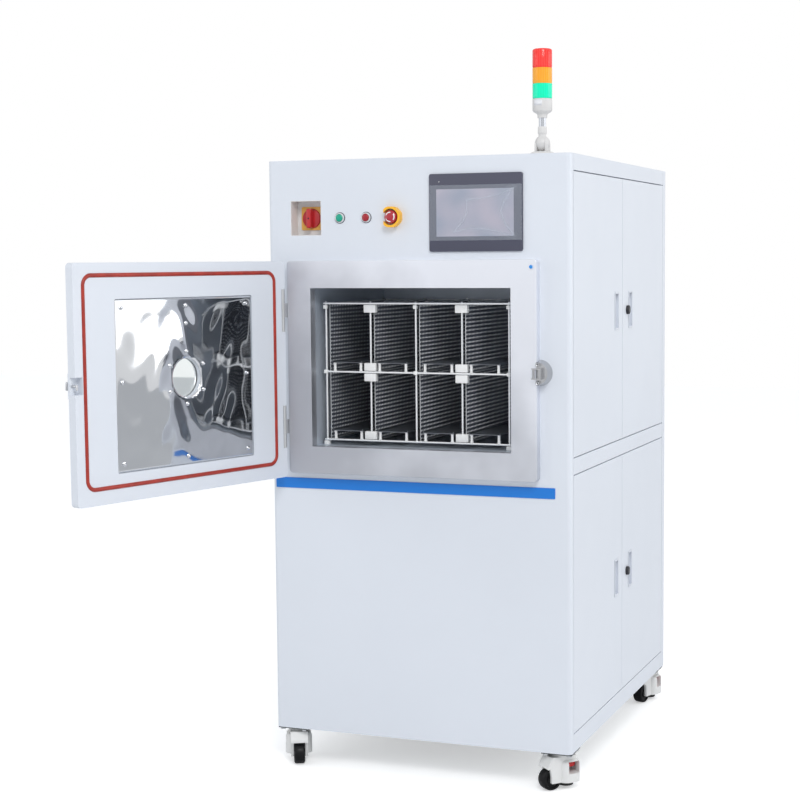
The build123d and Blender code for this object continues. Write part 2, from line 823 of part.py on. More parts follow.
# Recessed switch pocket with its yellow plate
with BuildPart() as switch_pocket:
    block(pocket_left, pocket_left + pocket_width, front_y, pocket_back, pocket_bottom,
          pocket_bottom + pocket_height)
    block(pocket_left + pocket_wall, pocket_left + pocket_width - pocket_wall, front_y, pocket_back - pocket_wall,
          pocket_bottom + pocket_wall, pocket_bottom + pocket_height - pocket_wall, mode=Mode.SUBTRACT)
    plate_front = pocket_back - pocket_wall - switch_plate_thickness
    half_plate = switch_plate_size / 2
    block(pocket_x - half_plate, pocket_x + half_plate, plate_front, pocket_back - pocket_wall,
          pocket_z - half_plate, pocket_z + half_plate)
    rod_y(pocket_x, plate_front, pocket_back, pocket_z, knob_shaft_radius + running_gap, mode=Mode.SUBTRACT)
save(switch_pocket, "switch_pocket")

with BuildPart() as switch_knob:
    knob_back = plate_front - 0.3
    rod_y(pocket_x, knob_back - knob_disc, knob_back, pocket_z, knob_radius)
    block(pocket_x - knob_grip_width / 2, pocket_x + knob_grip_width / 2, knob_back - knob_disc - knob_grip_height,
          knob_back - knob_disc, pocket_z - knob_radius, pocket_z + knob_radius)
    fillet(switch_knob.edges().filter_by(Axis.Z).sort_by(Axis.Y)[:2], 4.0)
    rod_y(pocket_x, knob_back, pocket_back + 6.0, pocket_z, knob_shaft_radius)
save(switch_knob, "switch_knob")

# Button collars and barrels, and the yellow guard round the emergency stop
with BuildPart() as button_collars:
    for i in range(3):
        x = button_first_x + i * button_pitch
        collar = button_collar_proud if i < 2 else 2.0
        rod_y(x, front_y - collar, front_y, button_z, button_collar_radius)
        rod_y(x, front_y, front_y + button_barrel_depth + 2.0, button_z, button_barrel_radius)
        rod_y(x, front_y - collar, front_y + button_barrel_depth, button_z, button_cap_radius + running_gap,
              mode=Mode.SUBTRACT)
    with BuildSketch(Plane.XZ.offset(-front_y)) as guard_face:
        with Locations((guard_x, button_z)):
            RectangleRounded(guard_width, guard_height, 14.0)
            Circle(guard_inner_radius, mode=Mode.SUBTRACT)
    extrude(amount=guard_proud)
save(button_collars, "button_collars")

for name, i in (("start_button", 0), ("stop_button", 1)):
    x = button_first_x + i * button_pitch
    with BuildPart() as button:
        rod_y(x, front_y - button_cap_proud, front_y + button_barrel_depth - button_travel - 1.0, button_z,
              button_cap_radius)
    save(button, name)

with BuildPart() as emergency_stop:
    head_back = front_y - 2.0 - estop_gap
    rod_y(guard_x, head_back - estop_head, head_back, button_z, estop_radius)
    fillet(emergency_stop.edges().filter_by(GeomType.CIRCLE).sort_by(Axis.Y)[0], 5.0)
    rod_y(guard_x, head_back, front_y + button_barrel_depth - estop_travel - 1.0, button_z, button_cap_radius)
save(emergency_stop, "emergency_stop")

# Tower light: foot with two ears, folding stem and three lenses
pivot_z = top_z + tower_pivot_height
ear_inner = tower_ear_gap / 2
with BuildPart() as tower_foot:
    rod_z(tower_x, tower_y, top_z, top_z + tower_foot_height, tower_foot_radius)
    rod_z(tower_x, tower_y, top_z + tower_foot_height, top_z + tower_foot_height + tower_collar_height,
          tower_collar_radius)
    for side in (-1, 1):
        x1 = tower_x + side * (ear_inner + tower_ear_thickness / 2) - tower_ear_thickness / 2
        x2 = x1 + tower_ear_thickness
        block(x1, x2, tower_y - tower_knuckle_radius, tower_y + tower_knuckle_radius,
              top_z + tower_foot_height, pivot_z)
        rod_x(x1, x2, tower_y, pivot_z, tower_knuckle_radius)
    rod_x(tower_x - ear_inner, tower_x + ear_inner, tower_y, pivot_z, tower_pivot_radius)
save(tower_foot, "tower_foot")

with BuildPart() as tower_stem:
    knuckle_half = ear_inner - 0.4
    rod_x(tower_x - knuckle_half, tower_x + knuckle_half, tower_y, pivot_z, tower_knuckle_radius)
    rod_z(tower_x, tower_y, pivot_z, top_z + tower_socket_top, tower_socket_radius - 1.0)
    rod_z(tower_x, tower_y, pivot_z + tower_knuckle_radius + 6.0, top_z + tower_socket_top, tower_socket_radius)
    rod_z(tower_x, tower_y, top_z + tower_socket_top, top_z + tower_pole_top, tower_pole_radius)
    taper = tower_taper_top - tower_pole_top
    with Locations((tower_x, tower_y, top_z + tower_pole_top + taper / 2)):
        Cone(lens_radius * 0.55, lens_radius * 0.9, taper)
    rod_z(tower_x, tower_y, top_z + tower_taper_top, top_z + tower_base_top, lens_radius - 1.0)
    rod_x(tower_x - knuckle_half, tower_x + knuckle_half, tower_y, pivot_z, tower_pivot_radius + running_gap,
          mode=Mode.SUBTRACT)
save(tower_stem, "tower_stem")

lens_z = top_z + tower_base_top
for name, height in (("green_lens", green_height), ("amber_lens", amber_height), ("red_lens", red_height)):
    with BuildPart() as lens:
        rod_z(tower_x, tower_y, lens_z, lens_z + height, lens_radius)
        if name == "red_lens":
            fillet(lens.edges().filter_by(GeomType.CIRCLE).sort_by(Axis.Z)[-1], 5.0)
    save(lens, name)
    lens_z = lens_z + height

# Chamber door, drawn open. In its frame X runs from the hinge to the free edge and +Y into the chamber.
door_direction = Vector(cos(radians(-door_open_angle)), sin(radians(-door_open_angle)), 0)
door_frame = Plane(origin=(hinge_x, hinge_y, 0), x_dir=door_direction, z_dir=(0, 0, 1))
edge_left = -hinge_edge_inset
edge_right = edge_left + door_width
inner_face = hinge_face_inset
outer_face = inner_face - door_thickness
door_mid_x = (edge_left + edge_right) / 2
face_plane = Plane(origin=door_frame.from_local_coords(Vector(0, outer_face, 0)), x_dir=door_direction,
                   z_dir=door_frame.from_local_coords(Vector(0, -1, 0)) - door_frame.origin)
seal_plane = face_plane.offset(-door_thickness - seal_proud + seal_diameter / 2)
mirror_bottom = door_bottom + mirror_from_bottom
window_z = mirror_bottom + mirror_height / 2 + window_above_middle
seal_x1 = edge_left + seal_margin_side + seal_diameter / 2
seal_x2 = edge_right - seal_margin_side + seal_diameter / 2
seal_z1 = door_bottom + seal_margin_bottom
seal_z2 = door_top - seal_margin_top
hinge_zs = (hinge_lower_z, hinge_upper_z)
knuckle_third = hinge_length / 3
glass_front = outer_face
glass_back = outer_face + glass_thickness
latch_x = edge_right - latch_shaft_inset
pocket_x1 = edge_right - latch_pocket_width

with BuildPart(door_frame) as door_shell:
    with BuildSketch(face_plane) as slab_face:
        with Locations((door_mid_x, (door_top + door_bottom) / 2)):
            RectangleRounded(door_width, door_height, door_corner)
        for z in hinge_zs:
            with Locations((edge_left + hinge_notch / 2, z + hinge_length / 2)):
                Rectangle(hinge_notch + 0.02, hinge_length + 1.0, mode=Mode.SUBTRACT)
        with Locations((door_mid_x, window_z)):
            Circle(window_radius, mode=Mode.SUBTRACT)
    extrude(amount=-door_thickness)
    with BuildSketch(face_plane) as glass_seat:
        with Locations((door_mid_x, window_z)):
            Circle(glass_radius + glass_play)
    extrude(amount=-glass_thickness, mode=Mode.SUBTRACT)
    with BuildSketch(face_plane.offset(-door_thickness)) as mirror_seat:
        with Locations((door_mid_x, mirror_bottom + mirror_height / 2)):
            RectangleRounded(mirror_width + 2 * mirror_play, mirror_height + 2 * mirror_play, mirror_corner)
    extrude(amount=mirror_recess, mode=Mode.SUBTRACT)
    with BuildSketch(face_plane.offset(-door_thickness)) as groove:
        with Locations(((seal_x1 + seal_x2) / 2, (seal_z1 + seal_z2) / 2)):
            RectangleRounded(seal_x2 - seal_x1 + seal_diameter, seal_z2 - seal_z1 + seal_diameter,
                             seal_corner + seal_diameter / 2)
            RectangleRounded(seal_x2 - seal_x1 - seal_diameter, seal_z2 - seal_z1 - seal_diameter,
                             seal_corner - seal_diameter / 2, mode=Mode.SUBTRACT)
    extrude(amount=seal_diameter - seal_proud, mode=Mode.SUBTRACT)
    block(pocket_x1, edge_right + 1.0, inner_face - latch_pocket_depth, inner_face + 1.0,
          latch_z - latch_pocket_height / 2, latch_z + latch_pocket_height / 2, mode=Mode.SUBTRACT)
    rod_y(latch_x, outer_face - 1.0, inner_face, latch_z, latch_shaft_radius + running_gap, mode=Mode.SUBTRACT)
    block(edge_right - latch_plate_width, edge_right, outer_face - latch_plate_proud, outer_face,
          latch_z - latch_plate_height / 2, latch_z + latch_plate_height / 2)
    rod_y(latch_x, outer_face - latch_plate_proud, outer_face, latch_z, latch_shaft_radius + running_gap,
          mode=Mode.SUBTRACT)
save(door_shell, "door_shell")

# Hinges: knuckles on the door, bracket and pin on the flange
with BuildPart(door_frame) as door_hinge_leaves:
    for z in hinge_zs:
        for z1, z2 in ((z, z + knuckle_third - knuckle_gap), (z + 2 * knuckle_third + knuckle_gap, z + hinge_length)):
            rod_z(0, 0, z1, z2, knuckle_radius)
            block(0, edge_left + hinge_notch, -3.0, 3.0, z1, z2)
            rod_z(0, 0, z1, z2, hinge_pin_radius + running_gap, mode=Mode.SUBTRACT)
save(door_hinge_leaves, "door_hinge_leaves")

with BuildPart() as hinge_brackets:
    for z in hinge_zs:
        z1 = z + knuckle_third
        z2 = z + 2 * knuckle_third
        rod_z(hinge_x, hinge_y, z1, z2, knuckle_radius)
        block(flange_left - hinge_plate, flange_left, hinge_y, front_y - 2.0, z1, z2)
        rod_z(hinge_x, hinge_y, z, z + hinge_length, hinge_pin_radius)
save(hinge_brackets, "hinge_brackets")

# Door seal: round cord bent to a rounded rectangle
with BuildPart(door_frame) as door_seal:
    with BuildLine(seal_plane) as seal_path:
        FilletPolyline(
            (seal_x2, seal_z1),
            (seal_x2, seal_z2),
            (seal_x1, seal_z2),
            (seal_x1, seal_z1),
            close=True,
            radius=seal_corner,
        )
    with BuildSketch(Plane(origin=seal_path.line @ 0, z_dir=seal_path.line % 0)) as cord:
        Circle(seal_diameter / 2 - 0.01)
    sweep()
save(door_seal, "door_seal")

# Polished inner plate, window glass and clamp ring
with BuildPart(door_frame) as door_mirror_plate:
    with BuildSketch(face_plane.offset(-door_thickness + mirror_recess)) as plate_face:
        with Locations((door_mid_x, mirror_bottom + mirror_height / 2)):
            RectangleRounded(mirror_width, mirror_height, mirror_corner)
        with Locations((door_mid_x, window_z)):
            Circle(window_radius, mode=Mode.SUBTRACT)
    extrude(amount=-mirror_thickness)
save(door_mirror_plate, "door_mirror_plate")

with BuildPart(door_frame) as window_glass:
    rod_y(door_mid_x, glass_front, glass_back, window_z, glass_radius)
save(window_glass, "window_glass")

with BuildPart(door_frame) as window_ring:
    rod_y(door_mid_x, outer_face - window_ring_proud, outer_face, window_z, window_radius + window_ring_width)
    rod_y(door_mid_x, outer_face - window_ring_proud - 1.0, outer_face, window_z, window_radius,
          mode=Mode.SUBTRACT)
    with BuildSketch(face_plane.offset(window_ring_proud)) as screw_ring:
        with Locations((door_mid_x, window_z)):
            with PolarLocations(window_radius + window_ring_width / 2, 8):
                Circle(4.0)
    extrude(amount=3.0)
save(window_ring, "window_ring")

# Latch lever outside, shaft through the door, cam in the edge pocket, drawn unlatched
lever_back = outer_face - latch_plate_proud - running_play
lever_hub_front = lever_back - lever_hub
grip_x = latch_x - lever_hub_reach
cam_front = inner_face - latch_cam_cover - latch_cam_thickness
with BuildPart(door_frame) as latch_handle:
    rod_y(latch_x, lever_back, cam_front + latch_cam_thickness, latch_z, latch_shaft_radius)
    rod_y(latch_x, lever_hub_front, lever_back, latch_z, lever_width / 2)
    block(grip_x, latch_x, lever_hub_front, lever_back, latch_z - lever_width / 2, latch_z + lever_width / 2)
    block(grip_x - lever_hub, grip_x, lever_back - lever_grip_end, lever_back, latch_z - lever_width / 2,
          latch_z + lever_width / 2)
    block(latch_x - lever_length, grip_x, lever_back - lever_grip_end, lever_back - lever_grip_start,
          latch_z - lever_width / 2, latch_z + lever_width / 2)
    block(latch_x - latch_cam_width / 2, latch_x + latch_cam_width / 2, cam_front, cam_front + latch_cam_thickness,
          latch_z - latch_cam_length, latch_z + latch_shaft_radius)
save(latch_handle, "latch_handle")

# Electrode rack: lapped rods with thin weld gaps, insulators, electrodes and trays on pins
front_rod_y = rack_front - post_radius - cross_rod_radius - weld_gap
rear_rod_y = rack_back + post_radius + cross_rod_radius + weld_gap
depth_rod_lap = post_radius + depth_rod_radius + weld_gap
depth_rod_start = front_rod_y + cross_rod_radius + weld_gap
depth_rod_end = rear_rod_y - cross_rod_radius - weld_gap
post_foot = rack_bottom - cross_rod_radius - foot_lap
with BuildPart() as rack_frame:
    for y in (rack_front, rack_back):
        for x in post_xs:
            rod_z(x, y, post_foot, rack_top + rod_overhang, post_radius)
    for y in (front_rod_y, rear_rod_y):
        for z in level_zs:
            rod_x(rack_left - rod_overhang, rack_right + rod_overhang, y, z, cross_rod_radius)
    for x in post_xs:
        for z in level_zs:
            rod_y(x + depth_rod_lap, depth_rod_start, depth_rod_end, z, depth_rod_radius)
save(rack_frame, "rack_frame")

half_block = block_height / 2
block_zs = [level_zs[0] + block_gap + half_block]
for z in level_zs[1:-1]:
    block_zs.append(z - block_gap - half_block)
    block_zs.append(z + block_gap + half_block)
block_zs.append(level_zs[-1] - block_gap - half_block)
cell_middles = [x + rack_pitch / 2 for x in post_xs[:-1]]
with BuildPart() as rack_insulators:
    for x in (post_xs[1], post_xs[3]):
        for y in (rack_front, rack_back):
            for z in block_zs:
                block(x - block_width / 2, x + block_width / 2, y - block_depth / 2, y + block_depth / 2,
                      z - half_block, z + half_block)
                rod_z(x, y, z - half_block, z + half_block, post_radius, mode=Mode.SUBTRACT)
    for middle in cell_middles:
        for x in (middle - pin_spacing / 2, middle + pin_spacing / 2):
            for y in (front_rod_y, rear_rod_y):
                for z in level_zs[:-1]:
                    rod_z(x, y, z + cross_rod_radius, z + pin_height, pin_radius)
    for x in (rack_left, rack_right):
        for y in (rack_front, rack_back):
            rod_z(x, y, chamber_floor + foot_gap, post_foot, rack_foot_radius)
save(rack_insulators, "rack_insulators")

with BuildPart() as electrode_plates:
    for x in post_xs[:-1]:
        plate_middle = x + depth_rod_lap
        for z in level_zs[:-1]:
            block(plate_middle - electrode_thickness / 2, plate_middle + electrode_thickness / 2,
                  rack_front + electrode_edge, rack_back - electrode_edge, z + depth_rod_radius,
                  z + rack_level - depth_rod_radius)
save(electrode_plates, "electrode_plates")

half_tray = pin_spacing / 2 + tray_overlap
with BuildPart() as rack_trays:
    for middle in cell_middles:
        for z in level_zs[:-1]:
            block(middle - half_tray, middle + half_tray, front_rod_y - tray_overlap, rear_rod_y + tray_overlap,
                  z + pin_height, z + pin_height + tray_thickness)
save(rack_trays, "rack_trays")

# Machinery inside the cabinet
floor_z = bottom_z + base_wall
pump_top = floor_z + pump_height
with BuildPart() as vacuum_pump:
    block(pump_left, pump_left + pump_width, pump_front, pump_rear, floor_z + 20.0, pump_top)
    fillet(vacuum_pump.edges().filter_by(Axis.Y), 18.0)
    for x in (pump_left + 20.0, pump_left + pump_width - 60.0):
        block(x, x + 40.0, pump_front + 20.0, pump_rear - 20.0, floor_z, floor_z + 20.0)
    rod_y(pump_x, pump_front - motor_length, pump_front, floor_z + pump_height / 2, motor_radius)
    rod_z(port_x, line_y, pump_top, pump_top + 30.0, port_bore + port_wall)
    rod_z(port_x, line_y, pump_top + 4.0, pump_top + 30.0, port_bore, mode=Mode.SUBTRACT)
save(vacuum_pump, "vacuum_pump")

with BuildPart() as vacuum_line:
    with BuildLine() as line_path:
        FilletPolyline(
            (port_x, line_start, port_z),
            (port_x, line_y, port_z),
            (port_x, line_y, pump_top + 30.0),
            radius=line_bend,
        )
    with BuildSketch(Plane(origin=(port_x, line_start, port_z), x_dir=(1, 0, 0), z_dir=(0, 1, 0))):
        Circle(line_radius)
        Circle(line_radius - line_wall, mode=Mode.SUBTRACT)
    sweep()
    for z in (pump_top + 30.0,):
        rod_z(port_x, line_y, z, z + clamp_ring_length, clamp_ring_radius)
        rod_z(port_x, line_y, z, z + clamp_ring_length, line_radius - line_wall, mode=Mode.SUBTRACT)
    rod_y(port_x, line_start, line_start + clamp_ring_length, port_z, clamp_ring_radius)
    rod_y(port_x, line_start, line_start + clamp_ring_length, port_z, line_radius - line_wall,
          mode=Mode.SUBTRACT)
    rod_y(exhaust_x, pump_rear, rear_y + exhaust_proud, exhaust_z, exhaust_radius)
    rod_y(exhaust_x, rear_y + exhaust_proud - 5.0, rear_y + exhaust_proud, exhaust_z, exhaust_radius + 7.0)
    rod_y(exhaust_x, pump_rear, rear_y + exhaust_proud, exhaust_z, exhaust_radius - exhaust_wall,
          mode=Mode.SUBTRACT)
save(vacuum_line, "vacuum_line")

generator_bottom = floor_z + generator_feet
with BuildPart() as rf_generator:
    block(generator_left, generator_left + generator_width, generator_front, generator_front + generator_depth,
          generator_bottom, generator_bottom + generator_height)
    for x in (generator_left + 40.0, generator_left + generator_width - 40.0):
        for y in (generator_front + 40.0, generator_front + generator_depth - 40.0):
            rod_z(x, y, floor_z, generator_bottom, 12.0)
    block(generator_left - 20.0, generator_left + generator_width + 20.0, generator_front - 3.0, generator_front,
          generator_bottom, generator_bottom + generator_height)
save(rf_generator, "rf_generator")

matching_y = chamber_back + chamber_wall
with BuildPart() as matching_box:
    block(matching_left, matching_left + matching_width, matching_y, matching_y + matching_depth,
          matching_bottom, matching_bottom + matching_height)
    rod_y(matching_left + matching_width / 2, matching_y + matching_depth, matching_y + matching_depth + 25.0,
          matching_bottom + 50.0, 11.0)
save(matching_box, "matching_box")

plate_x = rail_left + weld_gap
module_x = plate_x + mounting_plate
electrical_front = rail_rear - electrical_rear_gap - electrical_width
upper_modules = [
    (breaker_width, breaker_height, breaker_depth),
    (contactor_width, breaker_height, contactor_depth),
    (relay_width, relay_height, relay_depth),
    (supply_width, supply_height, supply_depth),
]
lower_modules = [
    (drive_width, drive_height, drive_depth),
    (drive_width, drive_height, drive_depth),
    (controller_width, controller_height, controller_depth),
]
terminal_strip = [(electrical_width - 2 * module_margin, terminal_height, terminal_depth)]
with BuildPart() as electrical_panel:
    block(plate_x, plate_x + mounting_plate, electrical_front, electrical_front + electrical_width,
          electrical_bottom, electrical_bottom + electrical_height)
    for row, modules in ((upper_row, upper_modules), (lower_row, lower_modules), (terminal_row, terminal_strip)):
        module_y = electrical_front + module_margin
        module_z = electrical_bottom + row
        for width, height, depth in modules:
            block(module_x, module_x + depth, module_y, module_y + width, module_z, module_z + height)
            module_y = module_y + width + module_gap
save(electrical_panel, "electrical_panel")

gas_y = rear_y - sheet - gas_plate
flow_rear = gas_y - flow_standoff
flow_front = flow_rear - flow_depth
flow_bottom = gas_inlet_z - flow_below
with BuildPart() as gas_panel:
    block(gas_left, gas_left + gas_width, gas_y, rear_y - sheet, gas_bottom, gas_bottom + gas_height)
    for side in (-1, 1):
        x = gas_inlet_x + side * inlet_spacing / 2
        block(x - flow_width / 2, x + flow_width / 2, flow_front, flow_rear, flow_bottom,
              gas_inlet_z + flow_above)
        block(x - flow_shelf_width / 2, x + flow_shelf_width / 2, flow_front - flow_shelf_reach, gas_y,
              flow_bottom - flow_shelf_height, flow_bottom)
        block(x - flow_shelf_width / 2, x + flow_shelf_width / 2, flow_rear, gas_y, flow_bottom,
              gas_inlet_z + flow_port_rise)
        rod_y(x, rear_y - sheet, rear_y + inlet_proud, gas_inlet_z, inlet_radius)
        rod_y(x, gas_y - 10.0, rear_y + inlet_proud, gas_inlet_z, inlet_bore, mode=Mode.SUBTRACT)
save(gas_panel, "gas_panel")

# Caster top plates, with kingpins and bolt heads
caster_spots = {
    "front_left": (left_x + caster_inset_x, front_y + caster_inset_y),
    "front_right": (right_x - caster_inset_x, front_y + caster_inset_y),
    "rear_left": (left_x + caster_inset_x, rear_y - caster_inset_y),
    "rear_right": (right_x - caster_inset_x, rear_y - caster_inset_y),
}
plate_z = bottom_z - caster_plate
turret_top = plate_z - turret_gap
with BuildPart() as caster_plates:
    for x, y in caster_spots.values():
        half = caster_plate_size / 2
        block(x - half, x + half, y - half, y + half, plate_z, bottom_z)
        rod_z(x, y, turret_top - kingpin_length, plate_z, kingpin_radius)
        for dx in (-caster_bolt_spacing / 2, caster_bolt_spacing / 2):
            for dy in (-caster_bolt_spacing / 2, caster_bolt_spacing / 2):
                rod_z(x + dx, y + dy, plate_z - caster_bolt_head, plate_z, caster_bolt_radius)
save(caster_plates, "caster_plates")

# Casters. In each caster's frame X points from the swivel axis to the wheel.
axle_z = wheel_radius
arm_inner = wheel_width / 2 + wheel_gap
housing_half_width = arm_inner + fork_thickness
housing_top = turret_top - turret_height
well_x = wheel_offset - wheel_radius - wheel_well_gap
well_top = 2 * wheel_radius + wheel_well_gap
for corner, (x, y) in caster_spots.items():
    heading = radians(caster_headings[corner])
    caster_frame = Plane(origin=(x, y, 0), x_dir=(cos(heading), sin(heading), 0), z_dir=(0, 0, 1))
    side_origin = caster_frame.from_local_coords(Vector(0, -housing_half_width, 0))
    side_normal = caster_frame.from_local_coords(Vector(0, -1, 0)) - caster_frame.origin
    side_plane = Plane(origin=side_origin, x_dir=caster_frame.x_dir, z_dir=side_normal)
    with BuildPart(caster_frame) as caster_housing:
        with BuildSketch(caster_frame.offset(housing_bottom)):
            with Locations(((drum_front - drum_back) / 2, 0)):
                RectangleRounded(drum_front + drum_back, 2 * drum_half_width, drum_corner)
        extrude(amount=drum_top - housing_bottom)
        fillet(caster_housing.edges().group_by(Axis.Z)[-1], drum_round)
        with BuildSketch(side_plane) as housing_side:
            with BuildLine() as housing_line:
                Polyline(
                    (-housing_back, housing_bottom),
                    (well_x + fork_thickness, housing_bottom),
                    (wheel_offset - axle_boss_radius, axle_z - axle_boss_radius),
                    (wheel_offset + axle_boss_radius, axle_z - axle_boss_radius),
                    (wheel_offset + axle_boss_radius, axle_z + axle_boss_radius),
                    (wheel_offset + axle_boss_radius + 3.0, canopy_bottom + canopy_rise),
                    (wheel_offset + canopy_reach, canopy_bottom),
                    (wheel_offset + canopy_reach - canopy_rise, canopy_bottom + canopy_lip),
                    (wheel_offset + axle_boss_radius - 3.0, housing_top),
                    (-housing_back, housing_top),
                    close=True,
                )
            make_face()
            fillet(housing_side.vertices(), 3.0)
        extrude(amount=-2 * housing_half_width)
        rod_z(0, 0, housing_top - 1.0, turret_top, turret_radius)
        block(well_x, wheel_offset + wheel_radius + wheel_well_gap, -arm_inner, arm_inner, 0.0, well_top,
              mode=Mode.SUBTRACT)
        rod_z(foot_offset, 0, window_bottom, window_top, thumb_radius + thumb_clearance, mode=Mode.SUBTRACT)
        block(window_back, window_front, -drum_half_width - 1.0, drum_half_width + 1.0, window_bottom, window_top,
              mode=Mode.SUBTRACT)
        rod_z(foot_offset, 0, 0.0, window_bottom, foot_stem_radius + running_gap, mode=Mode.SUBTRACT)
        rod_z(0, 0, turret_top - kingpin_length - 1.0, turret_top, kingpin_radius + running_gap,
              mode=Mode.SUBTRACT)
        rod_y(wheel_offset, -housing_half_width, housing_half_width, axle_z, axle_radius)
    save(caster_housing, f"{corner}_caster_housing")

    with BuildPart(caster_frame) as caster_wheel:
        rod_y(wheel_offset, -wheel_width / 2, wheel_width / 2, axle_z, wheel_radius)
        fillet(caster_wheel.edges().filter_by(GeomType.CIRCLE), 5.0)
        rod_y(wheel_offset, -wheel_width / 2, wheel_width / 2, axle_z, axle_radius + running_gap,
              mode=Mode.SUBTRACT)
    save(caster_wheel, f"{corner}_caster_wheel")

    with BuildPart(caster_frame) as caster_foot:
        rod_z(foot_offset, 0, foot_bottom, foot_bottom + foot_height, foot_radius)
        rod_z(foot_offset, 0, foot_bottom + foot_height, thumb_bottom, foot_stem_radius)
        rod_z(foot_offset, 0, thumb_bottom, thumb_bottom + thumb_height, thumb_radius)
    save(caster_foot, f"{corner}_caster_foot")
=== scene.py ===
from math import cos, pi, radians, sin, sqrt

import bmesh
import bpy
from mathutils import Matrix, Vector


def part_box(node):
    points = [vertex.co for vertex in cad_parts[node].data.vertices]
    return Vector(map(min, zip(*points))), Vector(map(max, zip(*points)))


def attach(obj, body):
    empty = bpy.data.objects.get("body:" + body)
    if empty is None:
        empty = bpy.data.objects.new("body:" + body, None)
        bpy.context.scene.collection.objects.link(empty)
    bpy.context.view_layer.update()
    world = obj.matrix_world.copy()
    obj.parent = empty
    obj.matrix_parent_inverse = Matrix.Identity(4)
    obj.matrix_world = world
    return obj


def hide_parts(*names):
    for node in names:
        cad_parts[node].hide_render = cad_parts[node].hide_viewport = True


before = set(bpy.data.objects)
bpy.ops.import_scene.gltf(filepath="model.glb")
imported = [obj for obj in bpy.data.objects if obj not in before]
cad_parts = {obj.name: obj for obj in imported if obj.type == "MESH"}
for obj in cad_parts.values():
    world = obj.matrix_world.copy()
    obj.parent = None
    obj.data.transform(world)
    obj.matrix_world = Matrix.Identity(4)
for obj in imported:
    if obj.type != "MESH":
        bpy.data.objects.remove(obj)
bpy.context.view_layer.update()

# Camera, lights and floor.
# The camera stands in front of the machine, to its right, a little below a person's eye height.
# The floor is a plain pale sheet that glows slightly for the camera only.
camera_place = Vector((1.7214, -4.8839, 1.4703))
camera_yaw = 20.50
camera_pitch = -5.07
camera_roll = -0.42
focal_pixels = 1673.9
image_pixels = 800.0
sensor_width = 36.0
camera_data = bpy.data.cameras.new("camera")
camera_data.sensor_width = sensor_width
camera_data.lens = focal_pixels * sensor_width / image_pixels
camera_data.shift_x = -0.0627
camera_data.shift_y = 0.0111
camera_data.clip_end = 60.0
camera = bpy.data.objects.new("camera", camera_data)
camera_turn = (Matrix.Rotation(radians(camera_yaw), 4, "Z")
               @ Matrix.Rotation(radians(90 + camera_pitch), 4, "X")
               @ Matrix.Rotation(radians(camera_roll), 4, "Z"))
camera.matrix_world = Matrix.Translation(camera_place) @ camera_turn
bpy.context.scene.collection.objects.link(camera)
bpy.context.scene.camera = camera
bpy.context.scene.view_settings.view_transform = "Standard"


def area_light(name, place, target, size, power, colour=(1.0, 1.0, 1.0)):
    data = bpy.data.lights.new(name, "AREA")
    data.shape = "RECTANGLE"
    data.size, data.size_y = size
    data.energy = power
    data.color = colour
    lamp = bpy.data.objects.new(name, data)
    place = Vector(place)
    lamp.matrix_world = (Matrix.Translation(place)
                         @ (Vector(target) - place).to_track_quat("-Z", "Y").to_matrix().to_4x4())
    bpy.context.scene.collection.objects.link(lamp)


area_light("key", (2.4, -4.4, 4.6), (0.0, -0.4, 1.0), (2.0, 2.0), 120.0)
area_light("side_fill", (4.5, 1.0, 2.2), (0.3, 0.0, 1.0), (3.0, 2.6), 46.0)
area_light("left_fill", (-4.2, -3.2, 2.4), (0.0, -0.3, 1.0), (3.0, 2.6), 32.0, (0.96, 0.98, 1.0))

world = bpy.data.worlds.new("studio")
bpy.context.scene.world = world
world.use_nodes = True
world_nodes = world.node_tree.nodes
world_links = world.node_tree.links
world_nodes.clear()
light_path = world_nodes.new("ShaderNodeLightPath")
seen_directly = world_nodes.new("ShaderNodeMath")
seen_directly.operation = "MAXIMUM"
seen_at_all = world_nodes.new("ShaderNodeMath")
seen_at_all.operation = "MAXIMUM"
world_links.new(light_path.outputs["Is Camera Ray"], seen_directly.inputs[0])
world_links.new(light_path.outputs["Is Transmission Ray"], seen_directly.inputs[1])
world_links.new(seen_directly.outputs[0], seen_at_all.inputs[0])
glossy_share = world_nodes.new("ShaderNodeMath")
glossy_share.operation = "MULTIPLY"
glossy_share.inputs[1].default_value = 0.9
world_links.new(light_path.outputs["Is Glossy Ray"], glossy_share.inputs[0])
world_links.new(glossy_share.outputs[0], seen_at_all.inputs[1])
room_light = world_nodes.new("ShaderNodeBackground")
room_light.inputs["Color"].default_value = (0.93, 0.96, 1.0, 1.0)
room_light.inputs["Strength"].default_value = 0.62
white_wall = world_nodes.new("ShaderNodeBackground")
white_wall.inputs["Color"].default_value = (1.0, 1.0, 1.0, 1.0)
white_wall.inputs["Strength"].default_value = 1.0
world_mix = world_nodes.new("ShaderNodeMixShader")
world_out = world_nodes.new("ShaderNodeOutputWorld")
world_links.new(seen_at_all.outputs[0], world_mix.inputs[0])
world_links.new(room_light.outputs[0], world_mix.inputs[1])
world_links.new(white_wall.outputs[0], world_mix.inputs[2])
world_links.new(world_mix.outputs[0], world_out.inputs[0])

